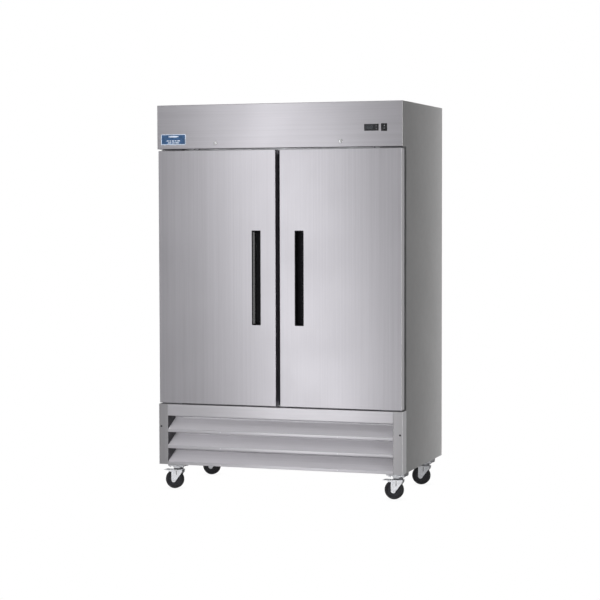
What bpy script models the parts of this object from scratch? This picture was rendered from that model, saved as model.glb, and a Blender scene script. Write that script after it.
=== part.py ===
"""Two-door reach-in refrigerator with a base-mounted condensing unit, on four swivel casters.

World frame: metres, +Z up, floor at Z = 0, the cabinet centred on X = 0, doors facing -Y.
"""
import math

import bmesh
import bpy
from mathutils import Matrix, Vector

# ---- driving dimensions -------------------------------------------------
WIDTH = 1.3716  # outside of the two side panels
HEIGHT = 2.089  # floor to cabinet top
OVERALL_DEPTH = 0.8168  # lock plugs to rear panel
NOSE = 0.004  # how far the lock plugs stand ahead of the front plane
FRONT = -OVERALL_DEPTH / 2 + NOSE  # front plane of doors, header and grille
BACK = OVERALL_DEPTH / 2
PROUD = 0.0724  # doors, header and grille stand this far ahead of the cabinet
FACE = FRONT + PROUD  # cabinet face that the gaskets seal on
BASE_Z = 0.1495  # lower edge of side panels and grille
GAP = 0.0003  # clearance between pieces that touch
SHEET = 0.001  # steel sheet
SIDE = WIDTH / 2
FLANGE = 0.015  # return flanges of the side panels

WALL = 0.055  # foamed wall
LINER = 0.0015
FOAM_BOTTOM = 0.447
CAVITY_X = SIDE - WALL
CAVITY_FRONT = FACE + WALL
CAVITY_BACK = BACK - SHEET - GAP - WALL
CAVITY_BOTTOM = 0.500
CAVITY_TOP = 2.030
OPENING_TOP = 1.825

HEADER_BOTTOM = 1.854
DOOR_TOP = 1.845
DOOR_BOTTOM = 0.4845
GRILLE_TOP = 0.478
DOOR_OUTER = 0.680
DOOR_INNER = 0.012
DOOR_DEPTH = 0.055
DOOR_RETURN = 0.053
FOLD_RADIUS = 0.004
HINGE_X = 0.660
HINGE_Y = FRONT + 0.028
PIN_RADIUS = 0.005
PIN_BORE = 0.0065
PIN_REACH = 0.017  # pin length inside a door
BRACKET_X = (0.556, 0.672)
BRACKET_FRONT = FRONT + 0.018
BRACKET_SHEET = 0.003
FLANGE_X = (0.560, 0.668)  # the bracket's rear flange
FLANGE_REACH = 0.037  # how far the flange overlaps the header or the grille
POCKET_X = (0.545, 0.676)  # room for a bracket flange in header, foam and grille
POCKET_DEPTH = 0.007

HANDLE_INNER = 0.0957
HANDLE_OUTER = 0.1452
HANDLE_BOTTOM = 0.915
HANDLE_TOP = 1.418
HANDLE_DEPTH = 0.034
HANDLE_WALL = 0.0025
TRIM = 0.0015  # thickness of flanges and plates lying on the front plane

LOCK_X = 0.350
LOCK_Z = 1.884
CAM_REACH = 0.045
CAM_HALF = 0.005
CAM_Y = (FRONT + 0.012, FRONT + 0.015)

BADGE = (-0.6625, -0.520, 1.877, 1.9335)  # low x, high x, low z, high z
DISPLAY = (0.4787, 0.5563, 1.9356, 1.9706)
SWITCH = (0.5694, 0.6024, 1.933, 1.973)
ROCKER_TILT = math.radians(9)
BUTTON_X = DISPLAY[1] - 0.012
BUTTON_HALF = 0.0036
BUTTON_ROWS = {"button_up": DISPLAY[2] + 0.0245, "button_down": DISPLAY[2] + 0.0105}

STILE_INNER = 0.634
RAIL_BOTTOM = 0.414
BLADES = 3
BLADE_DEPTH = 0.110
BLADE_LIP = 0.015
BLADE_RISE = 0.052
BLADE_UPSTAND = 0.030
BLADE_SHEET = 0.0015

SHELF_LEVELS = (0.600, 0.980, 1.360)
SHELF_INNER = 0.008
SHELF_OUTER = 0.614
SHELF_FRONT = FACE + 0.058
SHELF_BACK = 0.334
SHELF_THICK = 0.006
SHELF_SLOTS = 14
RACK_LOW = 0.512
RACK_HIGH = 1.790

EVAP_X = 0.460
EVAP_FRONT = -0.180
EVAP_BACK = 0.335
EVAP_BOTTOM = 1.850
EVAP_TOP = 2.026
EVAP_FAN_X = 0.220
EVAP_FAN_RADIUS = 0.072

FAN_X = -0.300
FAN_Z = 0.290
FAN_RADIUS = 0.105
COIL_HALF = 0.220
COIL_TOP = 0.410
INLET = (0.572, 0.618, 0.236, 0.274)  # low x, high x, low z, high z
INLET_DEPTH = 0.032

SWIVEL_X = 0.626
SWIVEL_FRONT = FRONT + 0.130
SWIVEL_REAR = FRONT + 0.680
TRAIL = 0.022
WHEEL_RADIUS = 0.0508
WHEEL_STEPS = 32
WHEEL_HALF = 0.016
HUB_HALF = 0.0178
AXLE_RADIUS = 0.004
LEG_INNER = 0.0190
LEG_SHEET = 0.0025
PLATE_TOP = 0.130
PLATE_THICK = 0.004
RACE_BOTTOM = 0.114
CROWN_TOP = 0.1062
CROWN_BOTTOM = 0.1028
PEDAL_X = -0.024  # pedal pivot, from the swivel axis
PEDAL_Z = 0.0965

SMOOTH_ANGLE = math.radians(35)
Y_AXIS = (math.pi / 2, 0, 0)  # turns a local Z axis onto world -Y


# ---- scene helpers --------------------------------------------------------
def clear_scene():
    for old in list(bpy.data.objects):
        bpy.data.objects.remove(old, do_unlink=True)


def new_collection(name):
    made = bpy.data.collections.new(name)
    bpy.context.scene.collection.children.link(made)
    return made


clear_scene()
PARTS = new_collection("reach_in_refrigerator")
CUTTERS = new_collection("cutters")


def material(name, colour, roughness, metallic=0.0):
    made = bpy.data.materials.new(name)
    made.use_nodes = True
    shader = made.node_tree.nodes["Principled BSDF"]
    shader.inputs["Base Color"].default_value = (*colour, 1.0)
    shader.inputs["Roughness"].default_value = roughness
    shader.inputs["Metallic"].default_value = metallic
    return made


FINISHES = {
    "stainless": ((0.62, 0.61, 0.63), 0.32, 1.0),
    "galvanised": ((0.55, 0.56, 0.57), 0.45, 1.0),
    "aluminium": ((0.70, 0.71, 0.72), 0.40, 1.0),
    "zinc": ((0.78, 0.79, 0.82), 0.30, 1.0),
    "foam": ((0.80, 0.70, 0.45), 0.90, 0.0),
    "black": ((0.015, 0.015, 0.017), 0.35, 0.0),
    "rubber": ((0.05, 0.05, 0.055), 0.65, 0.0),
    "gasket": ((0.16, 0.16, 0.17), 0.60, 0.0),
    "badge": ((0.10, 0.22, 0.45), 0.30, 0.0),
    "wire": ((0.85, 0.86, 0.87), 0.35, 0.0),
    "fin": ((0.60, 0.62, 0.64), 0.50, 1.0),
    "compressor": ((0.02, 0.02, 0.02), 0.50, 0.0),
}


def place(obj, name, finish):
    """Name a finished part, give it its own material and put it in the parts collection."""
    obj.name = name
    obj.data.name = name
    obj.data.materials.clear()
    obj.data.materials.append(material(f"{name}_{finish}", *FINISHES[finish]))
    PARTS.objects.link(obj)
    return obj


def cutter(obj):
    """Keep a helper solid out of the model; Booleans still read it."""
    CUTTERS.objects.link(obj)
    obj.hide_render = True
    obj.display_type = "WIRE"
    return obj


def mesh_object(name, bm):
    mesh = bpy.data.meshes.new(name)
    bm.to_mesh(mesh)
    bm.free()
    return bpy.data.objects.new(name, mesh)


def block(low, high, bevel=0.0):
    """An axis-aligned box between two corners, its origin at its centre."""
    size = [h - l for l, h in zip(low, high)]
    bm = bmesh.new()
    bmesh.ops.create_cube(bm, size=1.0)
    bmesh.ops.scale(bm, vec=size, verts=bm.verts)
    obj = mesh_object("block", bm)
    obj.location = [(l + h) / 2 for l, h in zip(low, high)]
    if bevel:
        add_bevel(obj, bevel)
    return obj


def rod(centre, radius, length, rotation=(0, 0, 0), sides=20):
    """A cylinder centred on a point, along local Z before its rotation."""
    bm = bmesh.new()
    bmesh.ops.create_cone(
        bm, cap_ends=True, segments=sides, radius1=radius, radius2=radius, depth=length
    )
    obj = mesh_object("rod", bm)
    smooth(obj)
    obj.location = centre
    obj.rotation_euler = rotation
    return obj


def smooth(obj):
    obj.data.shade_smooth()
    obj.data.set_sharp_from_angle(angle=SMOOTH_ANGLE)


def add_bevel(obj, width, segments=2):
    bevel = obj.modifiers.new("bevel", "BEVEL")
    bevel.width = width
    bevel.segments = segments
    bevel.limit_method = "ANGLE"


def boolean(target, others, operation):
    for other in others:
        step = target.modifiers.new(operation.lower(), "BOOLEAN")
        step.operation = operation
        step.solver = "EXACT"
        step.object = cutter(other)


def cut(target, *others):
    boolean(target, others, "DIFFERENCE")
    return target


def join(target, *others):
    boolean(target, others, "UNION")
    return target


def to_mesh(curve_obj):
    """Turn a curve object into a welded mesh object with the same transform."""
    bpy.context.scene.collection.objects.link(curve_obj)
    bpy.context.view_layer.update()
    graph = bpy.context.evaluated_depsgraph_get()
    mesh = bpy.data.meshes.new_from_object(curve_obj.evaluated_get(graph))
    bm = bmesh.new()
    bm.from_mesh(mesh)
    bmesh.ops.remove_doubles(bm, verts=bm.verts, dist=0.00001)
    bm.to_mesh(mesh)
    bm.free()
    obj = bpy.data.objects.new(curve_obj.name, mesh)
    obj.matrix_world = curve_obj.matrix_world.copy()
    bpy.data.objects.remove(curve_obj, do_unlink=True)
    return obj


PLANES = {
    "XY": (0, 0, 0),
    "XZ": (math.pi / 2, 0, 0),
    "YZ": (math.pi / 2, 0, math.pi / 2),
}


def outline(loops, thickness, plane, centre, fill="BOTH"):
    """A flat shape from closed loops, holes included, extruded about a centre point."""
    curve = bpy.data.curves.new("outline", "CURVE")
    curve.dimensions = "2D"
    curve.fill_mode = fill
    curve.extrude = thickness / 2
    for loop in loops:
        spline = curve.splines.new("POLY")
        spline.points.add(len(loop) - 1)
        for point, (a, b) in zip(spline.points, loop):
            point.co = (a, b, 0, 1)
        spline.use_cyclic_u = True
    obj = bpy.data.objects.new("outline", curve)
    obj.location = centre
    obj.rotation_euler = PLANES[plane]
    return to_mesh(obj)


def rectangle(low_a, high_a, low_b, high_b):
    return [(low_a, low_b), (high_a, low_b), (high_a, high_b), (low_a, high_b)]


def pan(loop, depth, front, sheet=SHEET, bevel=0.0):
    """A folded sheet pan: a front face in XZ with returns running back, open behind."""
    obj = outline([loop], depth, "XZ", (0, front + depth / 2, 0), fill="FRONT")
    if bevel:
        add_bevel(obj, bevel)
    wall = obj.modifiers.new("sheet", "SOLIDIFY")
    wall.thickness = sheet
    wall.offset = -1
    wall.use_even_offset = True
    return obj


def turned(profile, steps, rotation, location):
    """A solid of revolution from (radius, height) points, listed down its outer side."""
    bm = bmesh.new()
    points = [bm.verts.new((r, 0, z)) for r, z in profile]
    for a, b in zip(points, points[1:]):
        bm.edges.new((a, b))
    if profile[0][0] > 0:
        bm.edges.new((points[-1], points[0]))
    obj = mesh_object("turned", bm)
    screw = obj.modifiers.new("turn", "SCREW")
    screw.steps = steps
    screw.render_steps = steps
    screw.use_merge_vertices = True
    screw.merge_threshold = 0.00001
    screw.use_smooth_shade = True
    obj.location = location
    obj.rotation_euler = rotation
    return obj


def pivot(name, location):
    """An empty on a joint axis, the parent of the pieces that turn about it."""
    empty = bpy.data.objects.new(name, None)
    empty.location = location
    PARTS.objects.link(empty)
    return empty


def hang(parent, *pieces):
    for piece in pieces:
        piece.parent = parent
        piece.matrix_parent_inverse = Matrix.Translation(-Vector(parent.location))


def mirrored(side, low_x, high_x):
    """An x range on the left (-1) or right (+1) half, given as measured on the right half."""
    return (low_x, high_x) if side > 0 else (-high_x, -low_x)


def side_block(side, low, high, bevel=0.0):
    low_x, high_x = mirrored(side, low[0], high[0])
    return block((low_x, *low[1:]), (high_x, *high[1:]), bevel)


# ---- cabinet ----------------------------------------------------------------
def side_panel(side, name):
    """A tall folded panel, with return flanges at the cabinet face and at the back."""
    x_out, x_in, x_flange = SIDE, SIDE - SHEET, SIDE - FLANGE
    loop = [
        (x_flange, FACE),
        (x_out, FACE),
        (x_out, BACK),
        (x_flange, BACK),
        (x_flange, BACK - SHEET),
        (x_in, BACK - SHEET),
        (x_in, FACE + SHEET),
        (x_flange, FACE + SHEET),
    ]
    if side < 0:
        loop = [(-x, y) for x, y in reversed(loop)]
    obj = outline([loop], HEIGHT - BASE_Z, "XY", (0, 0, (HEIGHT + BASE_Z) / 2))
    place(obj, name, "galvanised")


def top_panel():
    inset = SIDE - SHEET - GAP
    low = (-inset, FACE + SHEET + GAP, HEIGHT - SHEET)
    place(block(low, (inset, BACK - SHEET - GAP, HEIGHT)), "top_panel", "galvanised")


def rear_panel():
    """Plain sheet with a row of upright air slots and the opening for the power inlet."""
    half = SIDE - FLANGE - GAP
    low_z = BASE_Z + 0.006
    slots, pitch, slot_half = 14, 0.080, 0.007
    loops = [rectangle(-half, half, low_z, HEIGHT - SHEET - GAP)]
    for i in range(slots):
        x = (i - (slots - 1) / 2) * pitch
        loops.append(rectangle(x - slot_half, x + slot_half, 0.200, 0.400))
    loops.append(inlet_area(0.005))
    obj = outline(loops, SHEET, "XZ", (0, BACK - SHEET / 2, 0))
    place(obj, "rear_panel", "galvanised")


def inlet_area(inset):
    low_x, high_x, low_z, high_z = INLET
    return rectangle(low_x + inset, high_x - inset, low_z + inset, high_z - inset)


def power_inlet():
    """Recessed mains inlet behind the rear panel, with three flat pins and no cord."""
    rear = BACK - SHEET - GAP
    front = rear - INLET_DEPTH
    low_x, high_x, low_z, high_z = INLET
    body = block((low_x, front, low_z), (high_x, rear, high_z))
    floor, wall = 0.006, 0.008
    middle = (front + rear) / 2
    pocket = outline([inlet_area(wall)], INLET_DEPTH, "XZ", (0, middle + floor, 0))
    cut(body, pocket)
    x, z = (low_x + high_x) / 2, (low_z + high_z) / 2
    reach = rear - 0.006
    for off_x, off_z in ((-0.008, -0.003), (0.0, 0.004), (0.008, -0.003)):
        pin_x, pin_z = x + off_x, z + off_z
        join(
            body,
            block(
                (pin_x - 0.001, front + floor / 2, pin_z - 0.003),
                (pin_x + 0.001, reach, pin_z + 0.003),
            ),
        )
    place(body, "power_inlet", "black")


def insulation():
    """Foam between the outer sheets and the liner, with the part that fills the header."""
    x = SIDE - SHEET - GAP
    top = HEIGHT - SHEET - GAP
    foam = block((-x, FACE + SHEET + GAP, FOAM_BOTTOM), (x, BACK - SHEET - GAP, top))
    header_low = HEADER_BOTTOM + SHEET + GAP
    header = block((-x, FRONT + SHEET + GAP, header_low), (x, FACE - 0.001, top), 0.003)
    neck_x = SIDE - FLANGE - GAP
    neck = block((-neck_x, FACE - 0.005, header_low), (neck_x, FACE + 0.010, top))
    join(foam, neck, header)
    cavity = block(
        (-CAVITY_X, CAVITY_FRONT, CAVITY_BOTTOM), (CAVITY_X, CAVITY_BACK, CAVITY_TOP)
    )
    mouth = block(
        (-CAVITY_X, FACE - 0.02, CAVITY_BOTTOM), (CAVITY_X, CAVITY_FRONT + 0.01, OPENING_TOP)
    )
    cut(foam, cavity, mouth)
    for low_x, high_x, low_z, high_z in (DISPLAY, SWITCH):
        margin = 0.002
        cut(
            foam,
            block(
                (low_x - margin, FRONT - 0.01, low_z - margin),
                (high_x + margin, FRONT + 0.058, high_z + margin),
            ),
        )
    for side in (-1, 1):
        room = CAM_REACH + 0.004
        cut(
            foam,
            side_block(
                side,
                (LOCK_X - 0.014, FRONT - 0.01, HEADER_BOTTOM - 0.01),
                (LOCK_X + room, FRONT + 0.024, LOCK_Z + 0.014),
            ),
            side_block(
                side,
                (POCKET_X[0], FACE - POCKET_DEPTH, HEADER_BOTTOM - 0.01),
                (POCKET_X[1], FACE + 0.0005, HEADER_BOTTOM + 0.045),
            ),
        )
    place(foam, "insulation_foam", "foam")


def inner_liner():
    """The food compartment's sheet lining, with its flange on the cabinet face."""
    def lining(shrink, mouth_front):
        room = block(
            (-CAVITY_X + shrink, CAVITY_FRONT + shrink, CAVITY_BOTTOM + shrink),
            (CAVITY_X - shrink, CAVITY_BACK - shrink, CAVITY_TOP - shrink),
        )
        mouth = block(
            (-CAVITY_X + shrink, mouth_front, CAVITY_BOTTOM + shrink),
            (CAVITY_X - shrink, CAVITY_FRONT + 0.02, OPENING_TOP - shrink),
        )
        return room, mouth

    liner, mouth = lining(GAP, FACE)
    flange_x = SIDE - FLANGE - GAP
    flange = block(
        (-flange_x, FACE, FOAM_BOTTOM + 0.002), (flange_x, FACE + SHEET, HEADER_BOTTOM)
    )
    join(liner, mouth, flange)
    cut(liner, *lining(GAP + LINER, FACE - 0.02))
    place(liner, "inner_liner", "aluminium")


def center_mullion():
    shrink = LINER + 2 * GAP
    low = (-0.030, FACE, CAVITY_BOTTOM + shrink)
    high = (0.030, FACE + 0.045, OPENING_TOP - shrink)
    place(block(low, high, 0.002), "center_mullion", "black")


def header_panel():
    """The deep front pan over the doors, with its openings for trim, locks and lock cams."""
    loop = rectangle(-SIDE, SIDE, HEADER_BOTTOM, HEIGHT)
    header = pan(loop, PROUD - GAP, FRONT, bevel=0.0025)
    for low_x, high_x, low_z, high_z in (DISPLAY, SWITCH):
        inset = 0.0025
        cut(
            header,
            block(
                (low_x + inset, FRONT - 0.01, low_z + inset),
                (high_x - inset, FRONT + 0.01, high_z - inset),
            ),
        )
    for side in (-1, 1):
        reach = math.sqrt(CAM_REACH**2 - (LOCK_Z - HEADER_BOTTOM) ** 2) + 0.008
        cut(
            header,
            rod((side * LOCK_X, FRONT, LOCK_Z), 0.0092, 0.02, Y_AXIS),
            side_block(
                side,
                (LOCK_X - 0.009, CAM_Y[0] - 0.001, HEADER_BOTTOM - 0.01),
                (LOCK_X + reach, CAM_Y[1] + 0.001, HEADER_BOTTOM + 0.01),
            ),
            flange_pocket(side, HEADER_BOTTOM),
        )
    place(header, "header_panel", "stainless")


def flange_pocket(side, z):
    """Cutter for the notch that lets a hinge flange through a pan's edge."""
    return side_block(
        side,
        (POCKET_X[0], FACE - POCKET_DEPTH, z - 0.01),
        (POCKET_X[1], FACE + 0.01, z + 0.01),
    )


def louver_grille():
    """Inverted-U frame with three bent louvre blades between its deep end cheeks."""
    inner, lower = STILE_INNER, BASE_Z
    loop = [
        (-SIDE, lower),
        (-inner, lower),
        (-inner, RAIL_BOTTOM),
        (inner, RAIL_BOTTOM),
        (inner, lower),
        (SIDE, lower),
        (SIDE, GRILLE_TOP),
        (-SIDE, GRILLE_TOP),
    ]
    grille = pan(loop, PROUD - GAP, FRONT, BLADE_SHEET)
    cheek_back = FRONT + BLADE_DEPTH + BLADE_SHEET
    for side in (-1, 1):
        join(
            grille,
            side_block(
                side,
                (inner + GAP, FRONT + 0.060, lower + 0.002),
                (inner + BLADE_SHEET - GAP, cheek_back, RAIL_BOTTOM + 0.001),
            ),
        )
    pitch = (RAIL_BOTTOM - lower) / BLADES
    for i in range(BLADES):
        join(grille, louver_blade(lower + i * pitch))
    for side in (-1, 1):
        cut(grille, flange_pocket(side, GRILLE_TOP))
    place(grille, "louver_grille", "stainless")


def louver_blade(z):
    """One blade: a front lip, a slope running up and back, and an upstand behind it."""
    t = BLADE_SHEET
    z += GAP
    rise = z + BLADE_LIP + BLADE_RISE
    front, back = FRONT + GAP, FRONT + BLADE_DEPTH
    loop = [
        (front, z),
        (front + t, z),
        (front + t, z + BLADE_LIP - t),
        (back + t, rise - t),
        (back + t, rise + BLADE_UPSTAND),
        (back, rise + BLADE_UPSTAND),
        (back, rise),
        (front, z + BLADE_LIP),
    ]
    return outline([loop], 2 * STILE_INNER + BLADE_SHEET, "YZ", (0, 0, 0))


def base_frame():
    """Machine compartment floor with a pad, a plate and an upper ball race for each caster."""
    half_x = SIDE - FLANGE - GAP
    floor_low = BASE_Z - 0.001
    frame = block(
        (-half_x, FRONT + BLADE_DEPTH + 0.004, floor_low), (half_x, BACK - 0.006, BASE_Z + 0.002)
    )
    pad_x, pad_y = 0.054, 0.046
    race_top = PLATE_TOP - PLATE_THICK / 2
    for x, y in caster_places().values():
        pad_side = min(pad_x, half_x - abs(x))
        low_x, high_x = sorted((x - math.copysign(pad_x, x), x + math.copysign(pad_side, x)))
        join(
            frame,
            block((low_x, y - pad_y, PLATE_TOP - GAP), (high_x, y + pad_y, BASE_Z - GAP)),
            block(
                (x - 0.047, y - 0.042, PLATE_TOP - PLATE_THICK),
                (x + 0.047, y + 0.042, PLATE_TOP),
            ),
            rod((x, y, (race_top + RACE_BOTTOM) / 2), 0.029, race_top - RACE_BOTTOM),
        )
    place(frame, "base_frame", "galvanised")


# ---- trim, controls and locks -----------------------------------------------
def badge():
    low_x, high_x, low_z, high_z = BADGE
    plate = block((low_x, FRONT - GAP - TRIM, low_z), (high_x, FRONT - GAP, high_z), 0.0006)
    place(plate, "nameplate_badge", "badge")


def trim_box(area, depth):
    """A thin bezel on the front plane with a body behind it, through the header's opening."""
    low_x, high_x, low_z, high_z = area
    inset = 0.003
    bezel = block((low_x, FRONT - GAP - TRIM, low_z), (high_x, FRONT - GAP, high_z))
    body = block(
        (low_x + inset, FRONT - GAP - 0.001, low_z + inset),
        (high_x - inset, FRONT + depth, high_z - inset),
    )
    return join(bezel, body)


def controller():
    housing = trim_box(DISPLAY, 0.050)
    low_x, _, low_z, high_z = DISPLAY
    window = block(
        (low_x + 0.008, FRONT - 0.01, low_z + 0.007),
        (BUTTON_X - 0.010, FRONT - GAP - TRIM / 2, high_z - 0.007),
    )
    cut(housing, window)
    size = BUTTON_HALF
    for z in BUTTON_ROWS.values():
        room = size + 0.0005
        cut(
            housing,
            block(
                (BUTTON_X - room, FRONT - 0.01, z - room), (BUTTON_X + room, FRONT + 0.006, z + room)
            ),
        )
    place(housing, "controller_housing", "black")
    for name, z in BUTTON_ROWS.items():
        key = block(
            (BUTTON_X - size, FRONT - 0.0030, z - size),
            (BUTTON_X + size, FRONT + 0.0035, z + size),
            0.0005,
        )
        place(key, name, "rubber")


def power_switch():
    """Switch housing with a rocker on a cross pivot, resting tilted to one side."""
    housing = trim_box(SWITCH, 0.028)
    x, z = (SWITCH[0] + SWITCH[1]) / 2, (SWITCH[2] + SWITCH[3]) / 2
    half_x, half_z = 0.010, 0.014
    pocket = block(
        (x - half_x - 0.0006, FRONT - 0.01, z - half_z - 0.0012),
        (x + half_x + 0.0006, FRONT + 0.014, z + half_z + 0.0012),
    )
    cut(housing, pocket)
    place(housing, "power_switch_housing", "black")
    front = -0.0022
    loop = [
        (front - 0.0006 - half_z * math.tan(ROCKER_TILT) * 0.4, half_z - 0.0012),
        (front + 0.0004, 0.0),
        (front - 0.0006 - half_z * math.tan(ROCKER_TILT) * 0.4, -half_z + 0.0012),
        (0.004, -half_z + 0.0018),
        (0.0065, 0.0),
        (0.004, half_z - 0.0018),
    ]
    rocker = outline([loop], 2 * half_x, "YZ", (x, FRONT + 0.0035, z))
    rocker.rotation_euler.rotate_axis("Z", ROCKER_TILT)
    place(rocker, "power_rocker", "black")


def lock(side, name):
    """Key plug with its cam; the cam lies level at rest and drops into the door to lock."""
    front, rear = FRONT - NOSE, CAM_Y[1] + 0.002
    plug = rod((side * LOCK_X, (front + rear) / 2, LOCK_Z), 0.0085, rear - front, Y_AXIS, 24)
    cam = side_block(
        side,
        (LOCK_X - CAM_HALF, CAM_Y[0], LOCK_Z - CAM_HALF),
        (LOCK_X + CAM_REACH - 0.002, CAM_Y[1], LOCK_Z + CAM_HALF),
    )
    join(plug, cam)
    key_x, key_z = 0.0010, 0.0036
    key_slot = block(
        (side * LOCK_X - key_x, front - 0.01, LOCK_Z - key_z),
        (side * LOCK_X + key_x, front + 0.003, LOCK_Z + key_z),
    )
    cut(plug, key_slot)
    place(plug, name, "zinc")


# ---- doors and hinges ---------------------------------------------------------
def hinge_bracket(side, top, name):
    """A plate in the gap above or below a door, with a rear flange and the hinge pin."""
    plate_low = DOOR_TOP + 0.0025 if top else GRILLE_TOP + 0.0015
    plate_high = plate_low + BRACKET_SHEET
    bracket = side_block(
        side,
        (BRACKET_X[0], BRACKET_FRONT, plate_low),
        (BRACKET_X[1], FACE - GAP, plate_high),
        0.0006,
    )
    if top:
        flange_z = (plate_low + 0.0005, HEADER_BOTTOM + FLANGE_REACH)
        pin_z = (DOOR_TOP - PIN_REACH, plate_high - 0.001)
    else:
        flange_z = (GRILLE_TOP - FLANGE_REACH, plate_high - 0.0005)
        pin_z = (plate_low + 0.001, DOOR_BOTTOM + PIN_REACH)
    flange = side_block(
        side,
        (FLANGE_X[0], FACE - GAP - BRACKET_SHEET, flange_z[0]),
        (FLANGE_X[1], FACE - GAP - 0.0002, flange_z[1]),
    )
    pin = rod(
        (side * HINGE_X, HINGE_Y, sum(pin_z) / 2), PIN_RADIUS, pin_z[1] - pin_z[0], sides=16
    )
    place(join(bracket, flange, pin), name, "zinc")


def door_bores(side):
    """Cutters for both hinge pins, one at each end of the door."""
    return [
        rod((side * HINGE_X, HINGE_Y, z), PIN_BORE, 2 * (PIN_REACH + 0.003), sides=16)
        for z in (DOOR_BOTTOM, DOOR_TOP)
    ]


def lock_slot(side):
    reach = math.sqrt(CAM_REACH**2 - (LOCK_Z - DOOR_TOP) ** 2) + 0.006
    return side_block(
        side,
        (LOCK_X - 0.008, CAM_Y[0] - 0.002, DOOR_TOP - 0.016),
        (LOCK_X + reach, CAM_Y[1] + 0.002, DOOR_TOP + 0.01),
    )


def door_skin(side, name):
    low_x, high_x = mirrored(side, DOOR_INNER, DOOR_OUTER)
    loop = rectangle(low_x, high_x, DOOR_BOTTOM, DOOR_TOP)
    skin = pan(loop, DOOR_RETURN, FRONT, bevel=FOLD_RADIUS)
    inset = 0.003
    hole = side_block(
        side,
        (HANDLE_INNER + inset, FRONT - 0.01, HANDLE_BOTTOM + inset),
        (HANDLE_OUTER - inset, FRONT + 0.02, HANDLE_TOP - inset),
    )
    cut(skin, hole, lock_slot(side), *door_bores(side))
    return place(skin, name, "stainless")


def door_core(side, name):
    skin_room = 0.0030  # clears the inside of the skin's folded edges
    low = (DOOR_INNER + skin_room, FRONT + SHEET + GAP, DOOR_BOTTOM + skin_room)
    high = (DOOR_OUTER - skin_room, FRONT + 0.0495, DOOR_TOP - skin_room)
    core = side_block(side, low, high, 0.003)
    pocket = side_block(
        side,
        (HANDLE_INNER + 0.002, FRONT - 0.01, HANDLE_BOTTOM + 0.002),
        (HANDLE_OUTER - 0.002, FRONT + HANDLE_DEPTH + 0.001, HANDLE_TOP - 0.002),
    )
    cut(core, pocket, lock_slot(side), *door_bores(side))
    return place(core, name, "foam")


def door_liner(side, name):
    """The inner pan: a flat rim under the gasket and a raised middle inside it."""
    room = 0.0015
    rim = side_block(
        side,
        (DOOR_INNER + room, FRONT + 0.0498, DOOR_BOTTOM + room),
        (DOOR_OUTER - room, FRONT + DOOR_DEPTH, DOOR_TOP - room),
        0.0025,
    )
    raised = side_block(
        side,
        (DOOR_INNER + 0.032, FRONT + 0.052, DOOR_BOTTOM + 0.030),
        (0.626, FRONT + 0.068, DOOR_TOP - 0.032),
    )
    return place(join(rim, raised), name, "aluminium")


def door_gasket(side, name):
    """A magnetic seal ring on the liner's rim, just clear of the cabinet face."""
    low_x, high_x = mirrored(side, DOOR_INNER + 0.0015, 0.655)
    low_z, high_z = DOOR_BOTTOM + 0.0017, DOOR_TOP - 0.0035
    width = 0.0155
    loops = [
        rectangle(low_x, high_x, low_z, high_z),
        rectangle(low_x + width, high_x - width, low_z + width, high_z - width),
    ]
    front, rear = FRONT + DOOR_DEPTH + GAP, FACE - 0.0006
    ring = outline(loops, rear - front, "XZ", (0, (front + rear) / 2, 0))
    return place(ring, name, "gasket")


def door_handle(side, name):
    """A recessed pull: a flange on the skin and a tray, chamfered along its outer side."""
    flange = side_block(
        side,
        (HANDLE_INNER, FRONT - GAP - TRIM, HANDLE_BOTTOM),
        (HANDLE_OUTER, FRONT - GAP, HANDLE_TOP),
    )
    inset = 0.0035
    tray = side_block(
        side,
        (HANDLE_INNER + inset, FRONT - GAP - 0.001, HANDLE_BOTTOM + inset),
        (HANDLE_OUTER - inset, FRONT + HANDLE_DEPTH, HANDLE_TOP - inset),
    )
    inner = HANDLE_INNER + inset + HANDLE_WALL
    outer = HANDLE_OUTER - inset - HANDLE_WALL + 0.001
    floor = FRONT + HANDLE_DEPTH - HANDLE_WALL
    chamfer, draft = 0.008, 0.001
    mouth = FRONT - 0.01
    loop = [
        (inner, mouth),
        (outer, mouth),
        (outer, FRONT + draft),
        (outer - chamfer, FRONT + draft + chamfer),
        (outer - chamfer - draft, floor),
        (inner, floor),
    ]
    if side < 0:
        loop = [(-x, y) for x, y in reversed(loop)]
    end = 0.007
    height = HANDLE_TOP - HANDLE_BOTTOM - 2 * end
    recess = outline([loop], height, "XY", (0, 0, (HANDLE_TOP + HANDLE_BOTTOM) / 2))
    return place(cut(join(flange, tray), recess), name, "black")


def door(side, label):
    hinge = pivot(f"door_{label}_axis", (side * HINGE_X, HINGE_Y, 0))
    hang(
        hinge,
        door_skin(side, f"door_{label}_skin"),
        door_core(side, f"door_{label}_core"),
        door_liner(side, f"door_{label}_liner"),
        door_gasket(side, f"door_{label}_gasket"),
        door_handle(side, f"door_{label}_handle"),
    )


# ---- inside the food compartment ----------------------------------------------
def shelves():
    """Six removable shelves; slots run front to back between the bars."""
    width, depth = SHELF_OUTER - SHELF_INNER, SHELF_BACK - SHELF_FRONT
    rim, bar = 0.010, 0.008
    pitch = (width - 2 * rim + bar) / SHELF_SLOTS
    loops = [rectangle(-width / 2, width / 2, -depth / 2, depth / 2)]
    for i in range(SHELF_SLOTS):
        left = -width / 2 + rim + i * pitch
        for near, far in ((-depth / 2 + rim, -bar / 2), (bar / 2, depth / 2 - rim)):
            loops.append(rectangle(left, left + pitch - bar, near, far))
    middle_y = (SHELF_FRONT + SHELF_BACK) / 2
    for side, label in ((-1, "left"), (1, "right")):
        for level, z in enumerate(SHELF_LEVELS, 1):
            x = side * (SHELF_INNER + SHELF_OUTER) / 2
            shelf = outline(loops, SHELF_THICK, "XY", (x, middle_y, z))
            place(shelf, f"shelf_{label}_{level}", "wire")


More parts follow.
